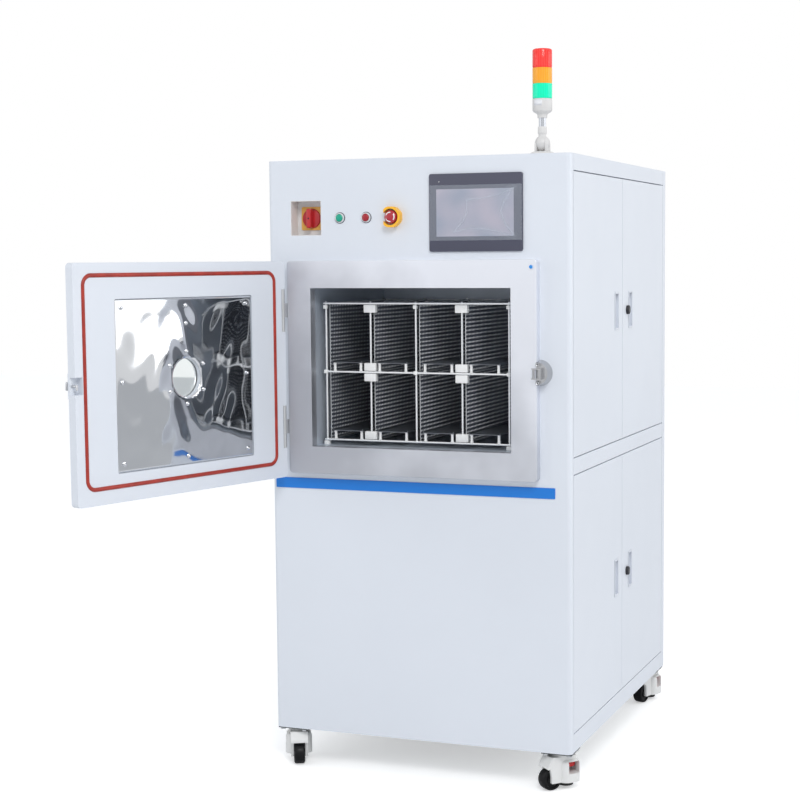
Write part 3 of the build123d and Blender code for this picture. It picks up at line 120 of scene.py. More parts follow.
floor_mesh = bmesh.new()
bmesh.ops.create_grid(floor_mesh, x_segments=1, y_segments=1, size=14.0)
floor_data = bpy.data.meshes.new("floor")
floor_mesh.to_mesh(floor_data)
floor_mesh.free()
floor = bpy.data.objects.new("floor", floor_data)
bpy.context.scene.collection.objects.link(floor)
floor_paint = bpy.data.materials.new("floor_paint")
floor_paint.use_nodes = True
floor_shader = floor_paint.node_tree.nodes["Principled BSDF"]
floor_shader.inputs["Base Color"].default_value = (0.93, 0.93, 0.93, 1.0)
floor_shader.inputs["Roughness"].default_value = 0.9
floor_path = floor_paint.node_tree.nodes.new("ShaderNodeLightPath")
floor_lift = floor_paint.node_tree.nodes.new("ShaderNodeMath")
floor_lift.operation = "MULTIPLY"
floor_lift.inputs[1].default_value = 0.42
floor_paint.node_tree.links.new(floor_path.outputs["Is Camera Ray"], floor_lift.inputs[0])
floor_paint.node_tree.links.new(floor_lift.outputs[0], floor_shader.inputs["Emission Strength"])
floor_shader.inputs["Emission Color"].default_value = (1.0, 1.0, 1.0, 1.0)
floor_data.materials.append(floor_paint)


# Cabinet sheets: folded steel, powder coated in a cool white with a very fine orange-peel surface.
# The front sheet wraps round both upright corners, and the other sheets close up to it.
def new_material(name, colour, roughness, metallic=0.0):
    mat = bpy.data.materials.new(name)
    mat.use_nodes = True
    shader = mat.node_tree.nodes["Principled BSDF"]
    shader.inputs["Base Color"].default_value = (*colour, 1.0)
    shader.inputs["Roughness"].default_value = roughness
    shader.inputs["Metallic"].default_value = metallic
    return mat, shader


def noise_on(mat, scale, detail=4.0, stretch=(1.0, 1.0, 1.0)):
    nodes, links = mat.node_tree.nodes, mat.node_tree.links
    place = nodes.new("ShaderNodeTexCoord")
    mapping = nodes.new("ShaderNodeMapping")
    mapping.inputs["Scale"].default_value = stretch
    noise = nodes.new("ShaderNodeTexNoise")
    noise.inputs["Scale"].default_value = scale
    noise.inputs["Detail"].default_value = detail
    links.new(place.outputs["Object"], mapping.inputs["Vector"])
    links.new(mapping.outputs["Vector"], noise.inputs["Vector"])
    return noise.outputs["Fac"]


def tint(mat, shader, factor, low, high):
    ramp = mat.node_tree.nodes.new("ShaderNodeValToRGB")
    ramp.color_ramp.elements[0].position = 0.35
    ramp.color_ramp.elements[1].position = 0.65
    ramp.color_ramp.elements[0].color = (*low, 1.0)
    ramp.color_ramp.elements[1].color = (*high, 1.0)
    mat.node_tree.links.new(factor, ramp.inputs["Fac"])
    mat.node_tree.links.new(ramp.outputs["Color"], shader.inputs["Base Color"])


def vary_roughness(mat, shader, factor, low, high):
    spread = mat.node_tree.nodes.new("ShaderNodeMapRange")
    spread.inputs["From Min"].default_value = 0.3
    spread.inputs["From Max"].default_value = 0.7
    spread.inputs["To Min"].default_value = low
    spread.inputs["To Max"].default_value = high
    mat.node_tree.links.new(factor, spread.inputs["Value"])
    mat.node_tree.links.new(spread.outputs["Result"], shader.inputs["Roughness"])


def bump_on(mat, shader, factor, strength, depth):
    bump = mat.node_tree.nodes.new("ShaderNodeBump")
    bump.inputs["Strength"].default_value = strength
    bump.inputs["Distance"].default_value = depth
    mat.node_tree.links.new(factor, bump.inputs["Height"])
    mat.node_tree.links.new(bump.outputs["Normal"], shader.inputs["Normal"])


def coated(name, colour, roughness=0.42, peel=0.10):
    mat, shader = new_material(name, colour, roughness)
    vary_roughness(mat, shader, noise_on(mat, 9.0), roughness - 0.04, roughness + 0.05)
    tint(mat, shader, noise_on(mat, 2.5, 2.0), [c * 0.985 for c in colour], colour)
    bump_on(mat, shader, noise_on(mat, 700.0, 2.0), peel, 0.0002)
    return mat


def dress(node, *mats):
    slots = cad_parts[node].material_slots
    for i, slot in enumerate(slots):
        slot.material = mats[min(i, len(mats) - 1)]


cabinet_white = coated("cabinet_white", (0.73, 0.765, 0.825))
for node in ("front_panel", "left_panel", "right_panel", "rear_panel", "top_panel", "upper_front_door",
             "upper_rear_door", "lower_front_door", "lower_rear_door"):
    dress(node, cabinet_white)
frame_grey = coated("frame_grey", (0.55, 0.58, 0.60), 0.5)
dress("cabinet_frame", frame_grey)


# Stripe: a painted bar with rounded corners, bonded across the front under the door.
# Its blue coat is glossier than the cabinet's.
stripe_blue = coated("stripe_blue", (0.004, 0.19, 0.66), 0.34, 0.05)
dress("stripe_bar", stripe_blue)


# Chamber and flange: an aluminium box and a thick face plate, fly-cut and then blasted to a fine satin.
# A round blue plug fills a hole near the plate's upper right corner.
def add_piece(bm, name, body, *mats, smooth=None, replaced=(), slot=None):
    data = bpy.data.meshes.new(name)
    bmesh.ops.recalc_face_normals(bm, faces=bm.faces)
    bm.to_mesh(data)
    bm.free()
    if smooth is not None:
        data.shade_smooth()
        data.set_sharp_from_angle(angle=radians(smooth))
    for mat in mats:
        data.materials.append(mat)
    piece = bpy.data.objects.new(name, data)
    bpy.context.scene.collection.objects.link(piece)
    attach(piece, body)
    if replaced:
        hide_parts(*replaced)
    return piece


def turned(bm, outline, place, axis=(0, 0, 1), steps=48, material=0):
    """Spins an outline of (radius, height) points round an axis through a place."""
    old = set(bm.faces)
    verts = [bm.verts.new((r, 0.0, h)) for r, h in outline]
    edges = [bm.edges.new(pair) for pair in zip(verts, verts[1:])]
    bmesh.ops.spin(bm, geom=verts + edges, cent=(0, 0, 0), axis=(0, 0, 1), dvec=(0, 0, 0),
                   angle=2 * pi, steps=steps, use_merge=True, use_duplicate=False)
    faces = [f for f in bm.faces if f not in old]
    points = list({v for f in faces for v in f.verts})
    bmesh.ops.remove_doubles(bm, verts=points, dist=1e-6)
    faces = [f for f in bm.faces if f not in old]
    points = list({v for f in faces for v in f.verts})
    turn = Vector((0, 0, 1)).rotation_difference(Vector(axis)).to_matrix().to_4x4()
    bmesh.ops.transform(bm, matrix=Matrix.Translation(place) @ turn, verts=points)
    for f in faces:
        f.material_index = material


def rounded_block(bm, low, high, radius, steps=2, matrix=None, material=0):
    """Adds a box between two corners with all its edges rounded."""
    low, high = Vector(low), Vector(high)
    made = bmesh.ops.create_cube(bm, size=1.0)["verts"]
    size = high - low
    bmesh.ops.scale(bm, vec=size, verts=made)
    bmesh.ops.translate(bm, vec=(low + high) / 2, verts=made)
    edges = list({e for v in made for e in v.link_edges})
    faces = list({f for v in made for f in v.link_faces})
    if radius:
        old = set(bm.faces) - set(faces)
        bmesh.ops.bevel(bm, geom=edges, offset=radius, segments=steps, profile=0.5, affect="EDGES",
                        material=-1)
        faces = [f for f in bm.faces if f not in old]
    points = list({v for f in faces for v in f.verts})
    if matrix is not None:
        bmesh.ops.transform(bm, matrix=matrix, verts=points)
    for f in faces:
        f.material_index = material
    return points


def brushed(name, colour, roughness, stretch=(1.0, 1.0, 1.0), scratch=0.12):
    mat, shader = new_material(name, colour, roughness, 1.0)
    vary_roughness(mat, shader, noise_on(mat, 3.0), roughness - 0.05, roughness + 0.07)
    bump_on(mat, shader, noise_on(mat, 260.0, 3.0, stretch), scratch, 0.0002)
    return mat


def grained(name, colour, roughness, metallic, scale, strength, depth=0.0002):
    mat, shader = new_material(name, colour, roughness, metallic)
    bump_on(mat, shader, noise_on(mat, scale), strength, depth)
    return mat


satin_plate, satin_shader = new_material("satin_plate", (0.66, 0.67, 0.70), 0.45, 0.8)
flange_nodes, flange_links = satin_plate.node_tree.nodes, satin_plate.node_tree.links
# Painted light: the flange's colour runs darker towards its lower left and lighter towards its upper right, a
# painted shade and highlight across the plate; the cloud noise added to it is random tone.
flange_at = flange_nodes.new("ShaderNodeTexCoord")
flange_painted_light_slope = flange_nodes.new("ShaderNodeVectorMath")
flange_painted_light_slope.operation = "DOT_PRODUCT"
flange_painted_light_slope.inputs[1].default_value = (0.35, 0.0, 0.55)
flange_links.new(flange_at.outputs["Object"], flange_painted_light_slope.inputs[0])
flange_cloud = flange_nodes.new("ShaderNodeMath")
flange_cloud.operation = "MULTIPLY_ADD"
flange_cloud.inputs[1].default_value = 0.55
flange_cloud.inputs[2].default_value = -0.42
flange_links.new(noise_on(satin_plate, 4.5, 3.0), flange_cloud.inputs[0])
flange_light_and_tone = flange_nodes.new("ShaderNodeMath")
flange_light_and_tone.operation = "ADD"
flange_links.new(flange_painted_light_slope.outputs["Value"], flange_light_and_tone.inputs[0])
flange_links.new(flange_cloud.outputs[0], flange_light_and_tone.inputs[1])
tint(satin_plate, satin_shader, flange_light_and_tone.outputs[0], (0.49, 0.505, 0.55), (0.80, 0.82, 0.88))
vary_roughness(satin_plate, satin_shader, noise_on(satin_plate, 3.0), 0.36, 0.52)
bump_on(satin_plate, satin_shader, noise_on(satin_plate, 260.0, 3.0, (1.0, 1.0, 0.06)), 0.12, 0.0002)
chamber_metal, chamber_shader = new_material("chamber_metal", (0.50, 0.54, 0.60), 0.40, 0.45)
tint(chamber_metal, chamber_shader, noise_on(chamber_metal, 2.2, 3.0), (0.48, 0.53, 0.60), (0.62, 0.67, 0.74))
bump_on(chamber_metal, chamber_shader, noise_on(chamber_metal, 260.0, 3.0, (0.05, 1.0, 1.0)), 0.12, 0.0002)
dress("chamber_flange", satin_plate)
dress("vacuum_chamber", chamber_metal)
plug_blue = grained("plug_blue", (0.02, 0.26, 0.72), 0.42, 0.0, 900.0, 0.1)
flange_low, flange_high = (Vector(p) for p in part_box("chamber_flange"))
forward = (0, -1, 0)
plug_place = (flange_high.x - 0.0146, flange_low.y + 0.0018, flange_high.z - 0.0206)
bm = bmesh.new()
turned(bm, [(0.0, 0.0026), (0.0032, 0.0025), (0.0050, 0.0019), (0.0060, 0.0008), (0.0064, 0.0), (0.0, 0.0)],
       plug_place, forward, 32)
add_piece(bm, "flange_plug", "root", plug_blue, smooth=40)


# Electrode rack: thin stainless rods, electropolished, lapped and spot-welded into two rows of four cells.
# White fluoropolymer blocks part the electrodes, and white pins carry the trays.
rod_steel = grained("rod_steel", (0.88, 0.89, 0.90), 0.26, 0.6, 260.0, 0.05)
dress("rack_frame", rod_steel)
insulator_white, insulator_shader = new_material("insulator_white", (0.86, 0.86, 0.85), 0.45)
insulator_shader.inputs["Subsurface Weight"].default_value = 0.15
insulator_shader.inputs["Subsurface Radius"].default_value = (0.004, 0.004, 0.004)
bump_on(insulator_white, insulator_shader, noise_on(insulator_white, 500.0), 0.08, 0.0002)
# The electrode plates are painted dark as a painted shade, for they stand in the shade inside the chamber.
electrode_painted_shade, electrode_shader = new_material("electrode_painted_shade", (0.15, 0.16, 0.185), 0.40, 0.35)
tint(electrode_painted_shade, electrode_shader, noise_on(electrode_painted_shade, 12.0, 3.0),
     (0.085, 0.095, 0.12), (0.13, 0.14, 0.17))
bump_on(electrode_painted_shade, electrode_shader, noise_on(electrode_painted_shade, 260.0, 3.0, (1.0, 0.08, 1.0)),
        0.12, 0.0002)
# The hole walls and rims of the electrode plates are painted near white, a painted light standing in for the
# light seen through the holes.
hole_wall_painted_light = grained("hole_wall_painted_light", (0.86, 0.87, 0.88), 0.35, 0.1, 400.0, 0.05)
tray_dark = brushed("tray_dark", (0.26, 0.28, 0.31), 0.40, (1.0, 0.08, 1.0))
screw_steel = brushed("screw_steel", (0.55, 0.56, 0.58), 0.28)

rack_left, rack_pitch, rack_bottom, rack_level = -0.290, 0.138, 0.9605, 0.195
rack_front, rack_back = -0.512, -0.088
rod_front_y, rod_rear_y = -0.518, -0.082
post_xs = [rack_left + rack_pitch * i for i in range(5)]
cell_xs = [x + rack_pitch / 2 for x in post_xs[:-1]]
chamber_floor_z, foot_top_z = 0.945, 0.9565
clamp_zs = (0.9755, 1.1405, 1.1705, 1.3355)

bm = bmesh.new()
for x in (post_xs[1], post_xs[3]):
    for y in (rack_front, rack_back):
        for z in clamp_zs:
            rounded_block(bm, (x - 0.018, y - 0.009, z - 0.011),
                          (x + 0.018, y + 0.009, z + 0.011), 0.0014)
pin_outline = [(0.0, 0.0), (0.0046, 0.0), (0.0046, 0.003), (0.0038, 0.004), (0.0038, 0.0205),
               (0.0045, 0.0215), (0.0045, 0.0232), (0.0, 0.0232)]
for x in cell_xs:
    for dx in (-0.040, 0.040):
        for y in (rod_front_y, rod_rear_y):
            for z in (rack_bottom, rack_bottom + rack_level):
                turned(bm, pin_outline, (x + dx, y, z + 0.0028), steps=16)
for x in (post_xs[0], post_xs[-1]):
    for y in (rack_front, rack_back):
        rounded_block(bm, (x - 0.0075, y - 0.0075, chamber_floor_z + 0.0002),
                      (x + 0.0075, y + 0.0075, foot_top_z), 0.001)
for x in (post_xs[0], post_xs[2], post_xs[4]):
    for y in (rack_front - 0.004, rack_back + 0.004):
        for z in (rack_bottom + rack_level, rack_bottom + 2 * rack_level - 0.010):
            rounded_block(bm, (x - 0.0052, y - 0.0060, z - 0.0052),
                          (x + 0.0052, y + 0.0060, z + 0.0052), 0.0012)
add_piece(bm, "rack_insulator_set", "rack", insulator_white, smooth=40, replaced=("rack_insulators",))

hole_pitch, hole_margin, hole_chamfer, sheet_gauge = 0.0115, 0.0029, 0.0017, 0.0016
for i, x in enumerate(post_xs[:-1]):
    for level, z in enumerate((rack_bottom, rack_bottom + rack_level)):
        low = Vector((x + 0.0049, rack_front + 0.013, z + 0.0025))
        high = Vector((x + 0.0065, rack_back - 0.013, z + rack_level - 0.0025))
        rows = round((high.z - low.z) / hole_pitch)
        columns = round((high.y - low.y) / hole_pitch)
        bm = bmesh.new()
        bmesh.ops.create_grid(bm, x_segments=columns, y_segments=rows, size=0.5)
        cells = bm.faces[:]
        bmesh.ops.scale(bm, vec=(high.y - low.y, high.z - low.z, 1.0), verts=bm.verts)
        bmesh.ops.inset_individual(bm, faces=cells, thickness=hole_margin, use_even_offset=True)
        corners = list({v for f in cells for v in f.verts})
        bmesh.ops.bevel(bm, geom=corners, offset=hole_chamfer, segments=1, profile=0.5,
                        affect="VERTICES", material=-1)
        holes = [f for f in bm.faces if len(f.verts) == 8 and f.calc_area() < hole_pitch ** 2 * 0.5]
        bmesh.ops.delete(bm, geom=holes, context="FACES")
        grown = bmesh.ops.extrude_face_region(bm, geom=bm.faces[:])["geom"]
        far_side = [v for v in grown if isinstance(v, bmesh.types.BMVert)]
        bmesh.ops.translate(bm, vec=(0, 0, sheet_gauge), verts=far_side)
        stand = Matrix(((0, 0, 1, low.x), (1, 0, 0, (low.y + high.y) / 2),
                        (0, 1, 0, (low.z + high.z) / 2), (0, 0, 0, 1)))
        bmesh.ops.transform(bm, matrix=stand, verts=bm.verts)
        bm.normal_update()
        for f in bm.faces:
            # Faces that face sideways take the plates' painted shade; hole walls and rims take the holes'
            # painted light.
            f.material_index = 0 if abs(f.normal.x) > 0.9 else 1
        replaced = ("electrode_plates",) if i == 0 and level == 0 else ()
        add_piece(bm, f"electrode_{i + 1}_{level + 1}", "rack", electrode_painted_shade, hole_wall_painted_light, replaced=replaced)

bm = bmesh.new()
for x in cell_xs:
    for z in (rack_bottom, rack_bottom + rack_level):
        low = Vector((x - 0.046, rod_front_y - 0.006, z + 0.026))
        high = Vector((x + 0.046, rod_rear_y + 0.006, z + 0.0275))
        rounded_block(bm, low, high, 0.0004, 1)
        for lip_x in (low.x, high.x - 0.0012):
            rounded_block(bm, (lip_x, low.y, high.z - 0.0003),
                          (lip_x + 0.0012, high.y, high.z + 0.004), 0.0003, 1)
add_piece(bm, "rack_tray_set", "rack", tray_dark, smooth=30, replaced=("rack_trays",))


# Chamber door: a thick aluminium slab with rounded corners, powder coated white all over.
# It swings on two hinges at its left edge, and its seal, polished plate, window and latch ride on it.
door_turn = radians(-106.9)
hinge_place = Vector((-0.389, -0.592, 0.0))
door_frame = Matrix.Translation(hinge_place) @ Matrix.Rotation(door_turn, 4, "Z")
door_middle, window_z = 0.380, 1.164
door_normal = (door_frame.to_3x3() @ Vector((0, 1, 0))).normalized()
door_mat = coated("door_paint", (0.73, 0.765, 0.825), 0.40, 0.08)
dress("door_shell", door_mat)

seal_red, seal_shader = new_material("seal_red", (0.40, 0.028, 0.014), 0.40)
bump_on(seal_red, seal_shader, noise_on(seal_red, 240.0), 0.25, 0.0003)
tint(seal_red, seal_shader, noise_on(seal_red, 30.0), (0.32, 0.020, 0.010), (0.42, 0.030, 0.014))
dress("door_seal", seal_red)

mirror_steel, mirror_shader = new_material("mirror_steel", (0.64, 0.655, 0.68), 0.035, 1.0)
vary_roughness(mirror_steel, mirror_shader, noise_on(mirror_steel, 6.0), 0.02, 0.07)
mirror_low, mirror_high = (0.1315, 0.932), (0.6285, 1.378)
mirror_face = 0.0035
bm = bmesh.new()
cells_x, cells_z = 80, 72
bmesh.ops.create_grid(bm, x_segments=cells_x, y_segments=cells_z, size=0.5)
plate_size = Vector((mirror_high[0] - mirror_low[0], mirror_high[1] - mirror_low[1], 1.0))
bmesh.ops.scale(bm, vec=plate_size, verts=bm.verts)
bmesh.ops.translate(bm, vec=((mirror_low[0] + mirror_high[0]) / 2, (mirror_low[1] + mirror_high[1]) / 2, 0),
                    verts=bm.verts)
hole_radius = 0.052
hole_centre = Vector((door_middle, window_z, 0.0))
inside = [f for f in bm.faces if (f.calc_center_median() - hole_centre).length < hole_radius]
bmesh.ops.delete(bm, geom=inside, context="FACES")
for v in bm.verts:
    away = v.co - hole_centre
    if v.is_boundary and away.length < hole_radius + 0.01:
        v.co = hole_centre + away.normalized() * hole_radius
    x, z = v.co.x, v.co.y
    from_edge = min(x - mirror_low[0], mirror_high[0] - x, z - mirror_low[1], mirror_high[1] - z, 0.05) / 0.05
    wave = (0.0009 * sin(21.0 * x + 3.0 * sin(9.0 * z)) * sin(17.0 * z + 1.0)
            + 0.0004 * sin(48.0 * x + 2.0) * sin(41.0 * z + 2.0 * sin(25.0 * x)))
    v.co.z = wave * from_edge
stand = door_frame @ Matrix(((1, 0, 0, 0), (0, 0, 1, mirror_face), (0, 1, 0, 0), (0, 0, 0, 1)))
bmesh.ops.transform(bm, matrix=stand, verts=bm.verts)
plate = add_piece(bm, "door_mirror", "chamber_door", mirror_steel, smooth=80, replaced=("door_mirror_plate",))
thickness = plate.modifiers.new("gauge", "SOLIDIFY")
thickness.thickness = 0.0015
thickness.offset = 0.0

bm = bmesh.new()
nut_ring, nut_inset = 0.070, 0.022
nut_spots = [(door_middle + nut_ring * cos(radians(a)), window_z + nut_ring * sin(radians(a)))
             for a in range(30, 390, 60)]
for x in (mirror_low[0] + nut_inset, door_middle, mirror_high[0] - nut_inset):
    middle_z = window_z + 0.145 if x == door_middle else window_z
    for z in (mirror_low[1] + nut_inset, middle_z, mirror_high[1] - nut_inset):
        nut_spots.append((x, z))
nut_outline = [(0.0, 0.0068), (0.0022, 0.0062), (0.0036, 0.0045), (0.0040, 0.0028), (0.0056, 0.0026),
               (0.0058, 0.0), (0.0, 0.0)]
for x, z in nut_spots:
    turned(bm, nut_outline, door_frame @ Vector((x, mirror_face + 0.0008, z)), door_normal, 20)
add_piece(bm, "door_plate_nuts", "chamber_door", mirror_steel, smooth=40)

clear_glass, glass_shader = new_material("clear_glass", (0.92, 0.96, 0.96), 0.02)
glass_shader.inputs["Transmission Weight"].default_value = 1.0
glass_shader.inputs["IOR"].default_value = 1.45
bump_on(clear_glass, glass_shader, noise_on(clear_glass, 8.0), 0.02, 0.0005)
dress("window_glass", clear_glass)
ring_steel = brushed("ring_steel", (0.70, 0.71, 0.72), 0.25)
dress("window_ring", ring_steel)
hinge_steel = brushed("hinge_steel", (0.60, 0.61, 0.62), 0.33, (1.0, 1.0, 0.1))
dress("door_hinge_leaves", hinge_steel)
dress("hinge_brackets", hinge_steel)


# Latch and strike: a cast lever outside the door turns a steel cam behind the keeper's roller.
# The keeper stands on a turned half-round boss, held by two cap screws with hexagon sockets; the sockets and
# a thin ring round each head are black, a painted shade.
lever_cast = brushed("lever_cast", (0.50, 0.51, 0.53), 0.36)
latch_x, latch_z = 0.755, 1.164
bm = bmesh.new()
rounded_block(bm, (0.711, -0.0273, latch_z - 0.011), (0.766, -0.0213, latch_z + 0.011),
              0.002, 3, door_frame)
rounded_block(bm, (0.700, -0.0473, latch_z - 0.010), (0.714, -0.0225, latch_z + 0.010),
              0.003, 3, door_frame)
rounded_block(bm, (0.606, -0.0473, latch_z - 0.011), (0.713, -0.0355, latch_z + 0.011),
              0.0045, 4, door_frame)
turned(bm, [(0.0, 0.024), (0.0039, 0.024), (0.0039, 0.0), (0.0, 0.0)],
       door_frame @ Vector((latch_x, -0.0213, latch_z)), door_normal, 24)
rounded_block(bm, (latch_x - 0.0035, 0.0025, latch_z - 0.011),
              (latch_x + 0.0035, 0.0050, latch_z + 0.004), 0.0006, 1, door_frame)
add_piece(bm, "latch_lever", "door_latch", lever_cast, smooth=40, replaced=("latch_handle",))
strike_steel = grained("strike_steel", (0.50, 0.505, 0.52), 0.20, 0.9, 90.0, 0.15, 0.0004)
dress("door_strike", strike_steel)
# Painted shade: a flat black ring round each screw head and a black hexagon in each socket stand in for the
# shade there; the switch handle's lock hole uses the same black.
recess_painted_shade = grained("recess_painted_shade_black", (0.03, 0.03, 0.035), 0.5, 0.6, 400.0, 0.1)
strike_x, strike_face_y = 0.366, flange_high.y - 0.0350
bm = bmesh.new()
for dz in (-0.025, 0.025):
    head_place = (strike_x, strike_face_y, latch_z + dz)
    turned(bm, [(0.0058, 0.0), (0.0058, 0.0004), (0.0050, 0.0005), (0.0050, 0.0)],
           head_place, forward, 28)
    turned(bm, [(0.0, 0.0010), (0.0016, 0.0012), (0.0044, 0.0026), (0.0049, 0.0020), (0.0050, 0.0),
                (0.0, 0.0)], head_place, forward, 28, material=1)
    bmesh.ops.create_cone(bm, segments=6, radius1=0.0022, radius2=0.0022, depth=0.0004, cap_ends=True,
                          matrix=Matrix.Translation(Vector(head_place) + Vector((0, -0.0013, 0)))
                          @ Matrix.Rotation(radians(90), 4, "X"))
add_piece(bm, "strike_screws", "root", recess_painted_shade, screw_steel, smooth=40)


# Operator panel: a die-cast dark bezel with a glossy front, rounded at its corners.
# A clear protective film still covers the display's band and lies on it in soft wrinkles; along its fold
# lines it is painted more opaque, so its pale colour shows there as a painted highlight.
def rounded_plate(bm, low, high, corner, thickness, front_bevel=0.0, material=0, steps=6):
    """Adds an upright plate on the XZ plane, from its front at low[1] back by its thickness."""
    old = set(bm.faces)
    made = bmesh.ops.create_grid(bm, x_segments=1, y_segments=1, size=0.5)["verts"]
    width, height = high[0] - low[0], high[2] - low[2]
    bmesh.ops.scale(bm, vec=(width, height, 1.0), verts=made)
    bmesh.ops.bevel(bm, geom=made, offset=corner, segments=steps, profile=0.5, affect="VERTICES",
                    material=-1)
    face = [f for f in bm.faces if f not in old][0]
    rim = bmesh.ops.extrude_face_region(bm, geom=[face])["geom"]
    back = [v for v in rim if isinstance(v, bmesh.types.BMVert)]
    bmesh.ops.translate(bm, vec=(0, 0, thickness), verts=back)
    faces = [f for f in bm.faces if f not in old]
    if front_bevel:
        edges = list(face.edges)
        keep = set(bm.faces) - set(faces)
        bmesh.ops.bevel(bm, geom=edges, offset=front_bevel, segments=3, profile=0.5, affect="EDGES",
                        material=-1)
        faces = [f for f in bm.faces if f not in keep]
    points = list({v for f in faces for v in f.verts})
    place = Matrix(((1, 0, 0, (low[0] + high[0]) / 2), (0, 0, 1, low[1]),
                    (0, 1, 0, (low[2] + high[2]) / 2), (0, 0, 0, 1)))
    bmesh.ops.transform(bm, matrix=place, verts=points)
    for f in faces:
        f.material_index = material


panel_low, panel_high = (Vector(p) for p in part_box("touch_screen"))
bezel_slate, bezel_shader = new_material("bezel_slate", (0.060, 0.062, 0.098), 0.26)
bezel_shader.inputs["Coat Weight"].default_value = 0.4
bezel_shader.inputs["Coat Roughness"].default_value = 0.08
bump_on(bezel_slate, bezel_shader, noise_on(bezel_slate, 350.0), 0.05, 0.0002)
body_grey = coated("panel_body_grey", (0.10, 0.11, 0.12), 0.5)
bm = bmesh.new()
rounded_plate(bm, (panel_low.x, panel_low.y, panel_low.z), (panel_high.x, panel_low.y, panel_high.z),
              0.006, 0.006, 0.0016)
rounded_block(bm, (panel_low.x + 0.009, panel_low.y + 0.006, panel_low.z + 0.009),
              (panel_high.x - 0.009, panel_high.y, panel_high.z - 0.009), 0.003, 2, material=1)
add_piece(bm, "operator_bezel", "root", bezel_slate, body_grey, smooth=40, replaced=("touch_screen",))

display_low, display_high = (Vector(p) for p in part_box("screen_glass"))
display_lilac, display_shader = new_material("display_lilac", (0.34, 0.35, 0.45), 0.12)
tint(display_lilac, display_shader, noise_on(display_lilac, 9.0, 1.0), (0.30, 0.33, 0.42), (0.50, 0.44, 0.52))
bump_on(display_lilac, display_shader, noise_on(display_lilac, 500.0), 0.03, 0.0001)
bm = bmesh.new()
rounded_plate(bm, (display_low.x, display_low.y - 0.0003, display_low.z),
              (display_high.x, display_low.y, display_high.z), 0.0008, 0.0008, steps=2)
add_piece(bm, "operator_display", "root", display_lilac, smooth=40, replaced=("screen_glass",))

film_clear, film_shader = new_material("film_clear", (0.66, 0.72, 0.80), 0.14)
film_clear.surface_render_method = "DITHERED"
bump_on(film_clear, film_shader, noise_on(film_clear, 60.0), 0.05, 0.0005)
# Painted highlight: the film's alpha rises along its fold lines, read from the fold attribute, so the creases
# show as pale bright lines.
film_fold_highlight = film_clear.node_tree.nodes.new("ShaderNodeAttribute")
film_fold_highlight.attribute_name = "fold"
film_highlight_alpha = film_clear.node_tree.nodes.new("ShaderNodeMath")
film_highlight_alpha.operation = "MULTIPLY_ADD"
film_highlight_alpha.inputs[1].default_value = 0.20
film_highlight_alpha.inputs[2].default_value = 0.20
film_clear.node_tree.links.new(film_fold_highlight.outputs["Fac"], film_highlight_alpha.inputs[0])
film_clear.node_tree.links.new(film_highlight_alpha.outputs[0], film_shader.inputs["Alpha"])
folds = (((0.40, 0.765), (0.604, 0.80), (0.807, 0.866), (1.0, 1.0)),
         ((0.40, 0.765), (0.40, 0.497), (0.339, 0.295), (0.228, 0.094)),
         ((0.228, 0.094), (0.461, 0.178), (0.705, 0.128), (0.949, 0.01)),
         ((1.0, 1.0), (0.888, 0.765), (0.837, 0.497), (0.888, 0.262), (1.0, 0.01)))
fold_line, fold_swell = 0.0026, 0.014
display_size = Vector((display_high.x - display_low.x, display_high.z - display_low.z))


def fold_depth(x, z):
    """Says how sharply the film is folded at a place: 1 on a fold line, fading out beside it."""
    here = Vector((x - display_low.x, z - display_low.z))
    nearest = 1.0
    for fold in folds:
        corners = [Vector((u * display_size.x, w * display_size.y)) for u, w in fold]
        for a, b in zip(corners, corners[1:]):
            along = max(0.0, min(1.0, (here - a).dot(b - a) / (b - a).length_squared))
            nearest = min(nearest, (here - a - along * (b - a)).length)
    return max(0.0, 1.0 - nearest / fold_line) + 0.40 * max(0.0, 1.0 - nearest / fold_swell)


bm = bmesh.new()
bmesh.ops.create_grid(bm, x_segments=160, y_segments=96, size=0.5)
film_low = Vector((panel_low.x + 0.002, 0.0, display_low.z - 0.011))
film_high = Vector((panel_high.x - 0.002, 0.0, display_high.z + 0.011))
fold_highlight_values = []
bm.verts.ensure_lookup_table()
for v in bm.verts:
    u, w = v.co.x + 0.5, v.co.y + 0.5
    x = film_low.x + u * (film_high.x - film_low.x)
    z = film_low.z + w * (film_high.z - film_low.z)
    wrinkle = (sin(7.0 * u + 5.0 * w * w) * sin(5.0 * w + 2.0 * u)
               + 0.5 * sin(19.0 * u - 11.0 * w) * sin(6.0 * w + 1.0))
    held = min(u, 1 - u, w, 1 - w, 0.08) / 0.08
    depth = fold_depth(x, z)
    fold_highlight_values.append(min(1.0, depth))
    v.co = (x, panel_low.y - 0.0006 - (0.0006 * abs(wrinkle) + 0.0012 * depth) * held, z)
film = add_piece(bm, "operator_film", "root", film_clear, smooth=80)
film.data.attributes.new("fold", "FLOAT", "POINT").data.foreach_set("value", fold_highlight_values)
bm = bmesh.new()
turned(bm, [(0.0, 0.0003), (0.0011, 0.0002), (0.0012, 0.0), (0.0, 0.0)],
       (panel_low.x + 0.030, panel_low.y - 0.0001, panel_high.z - 0.022), forward, 16)
add_piece(bm, "operator_sensor", "root", insulator_white, smooth=60)


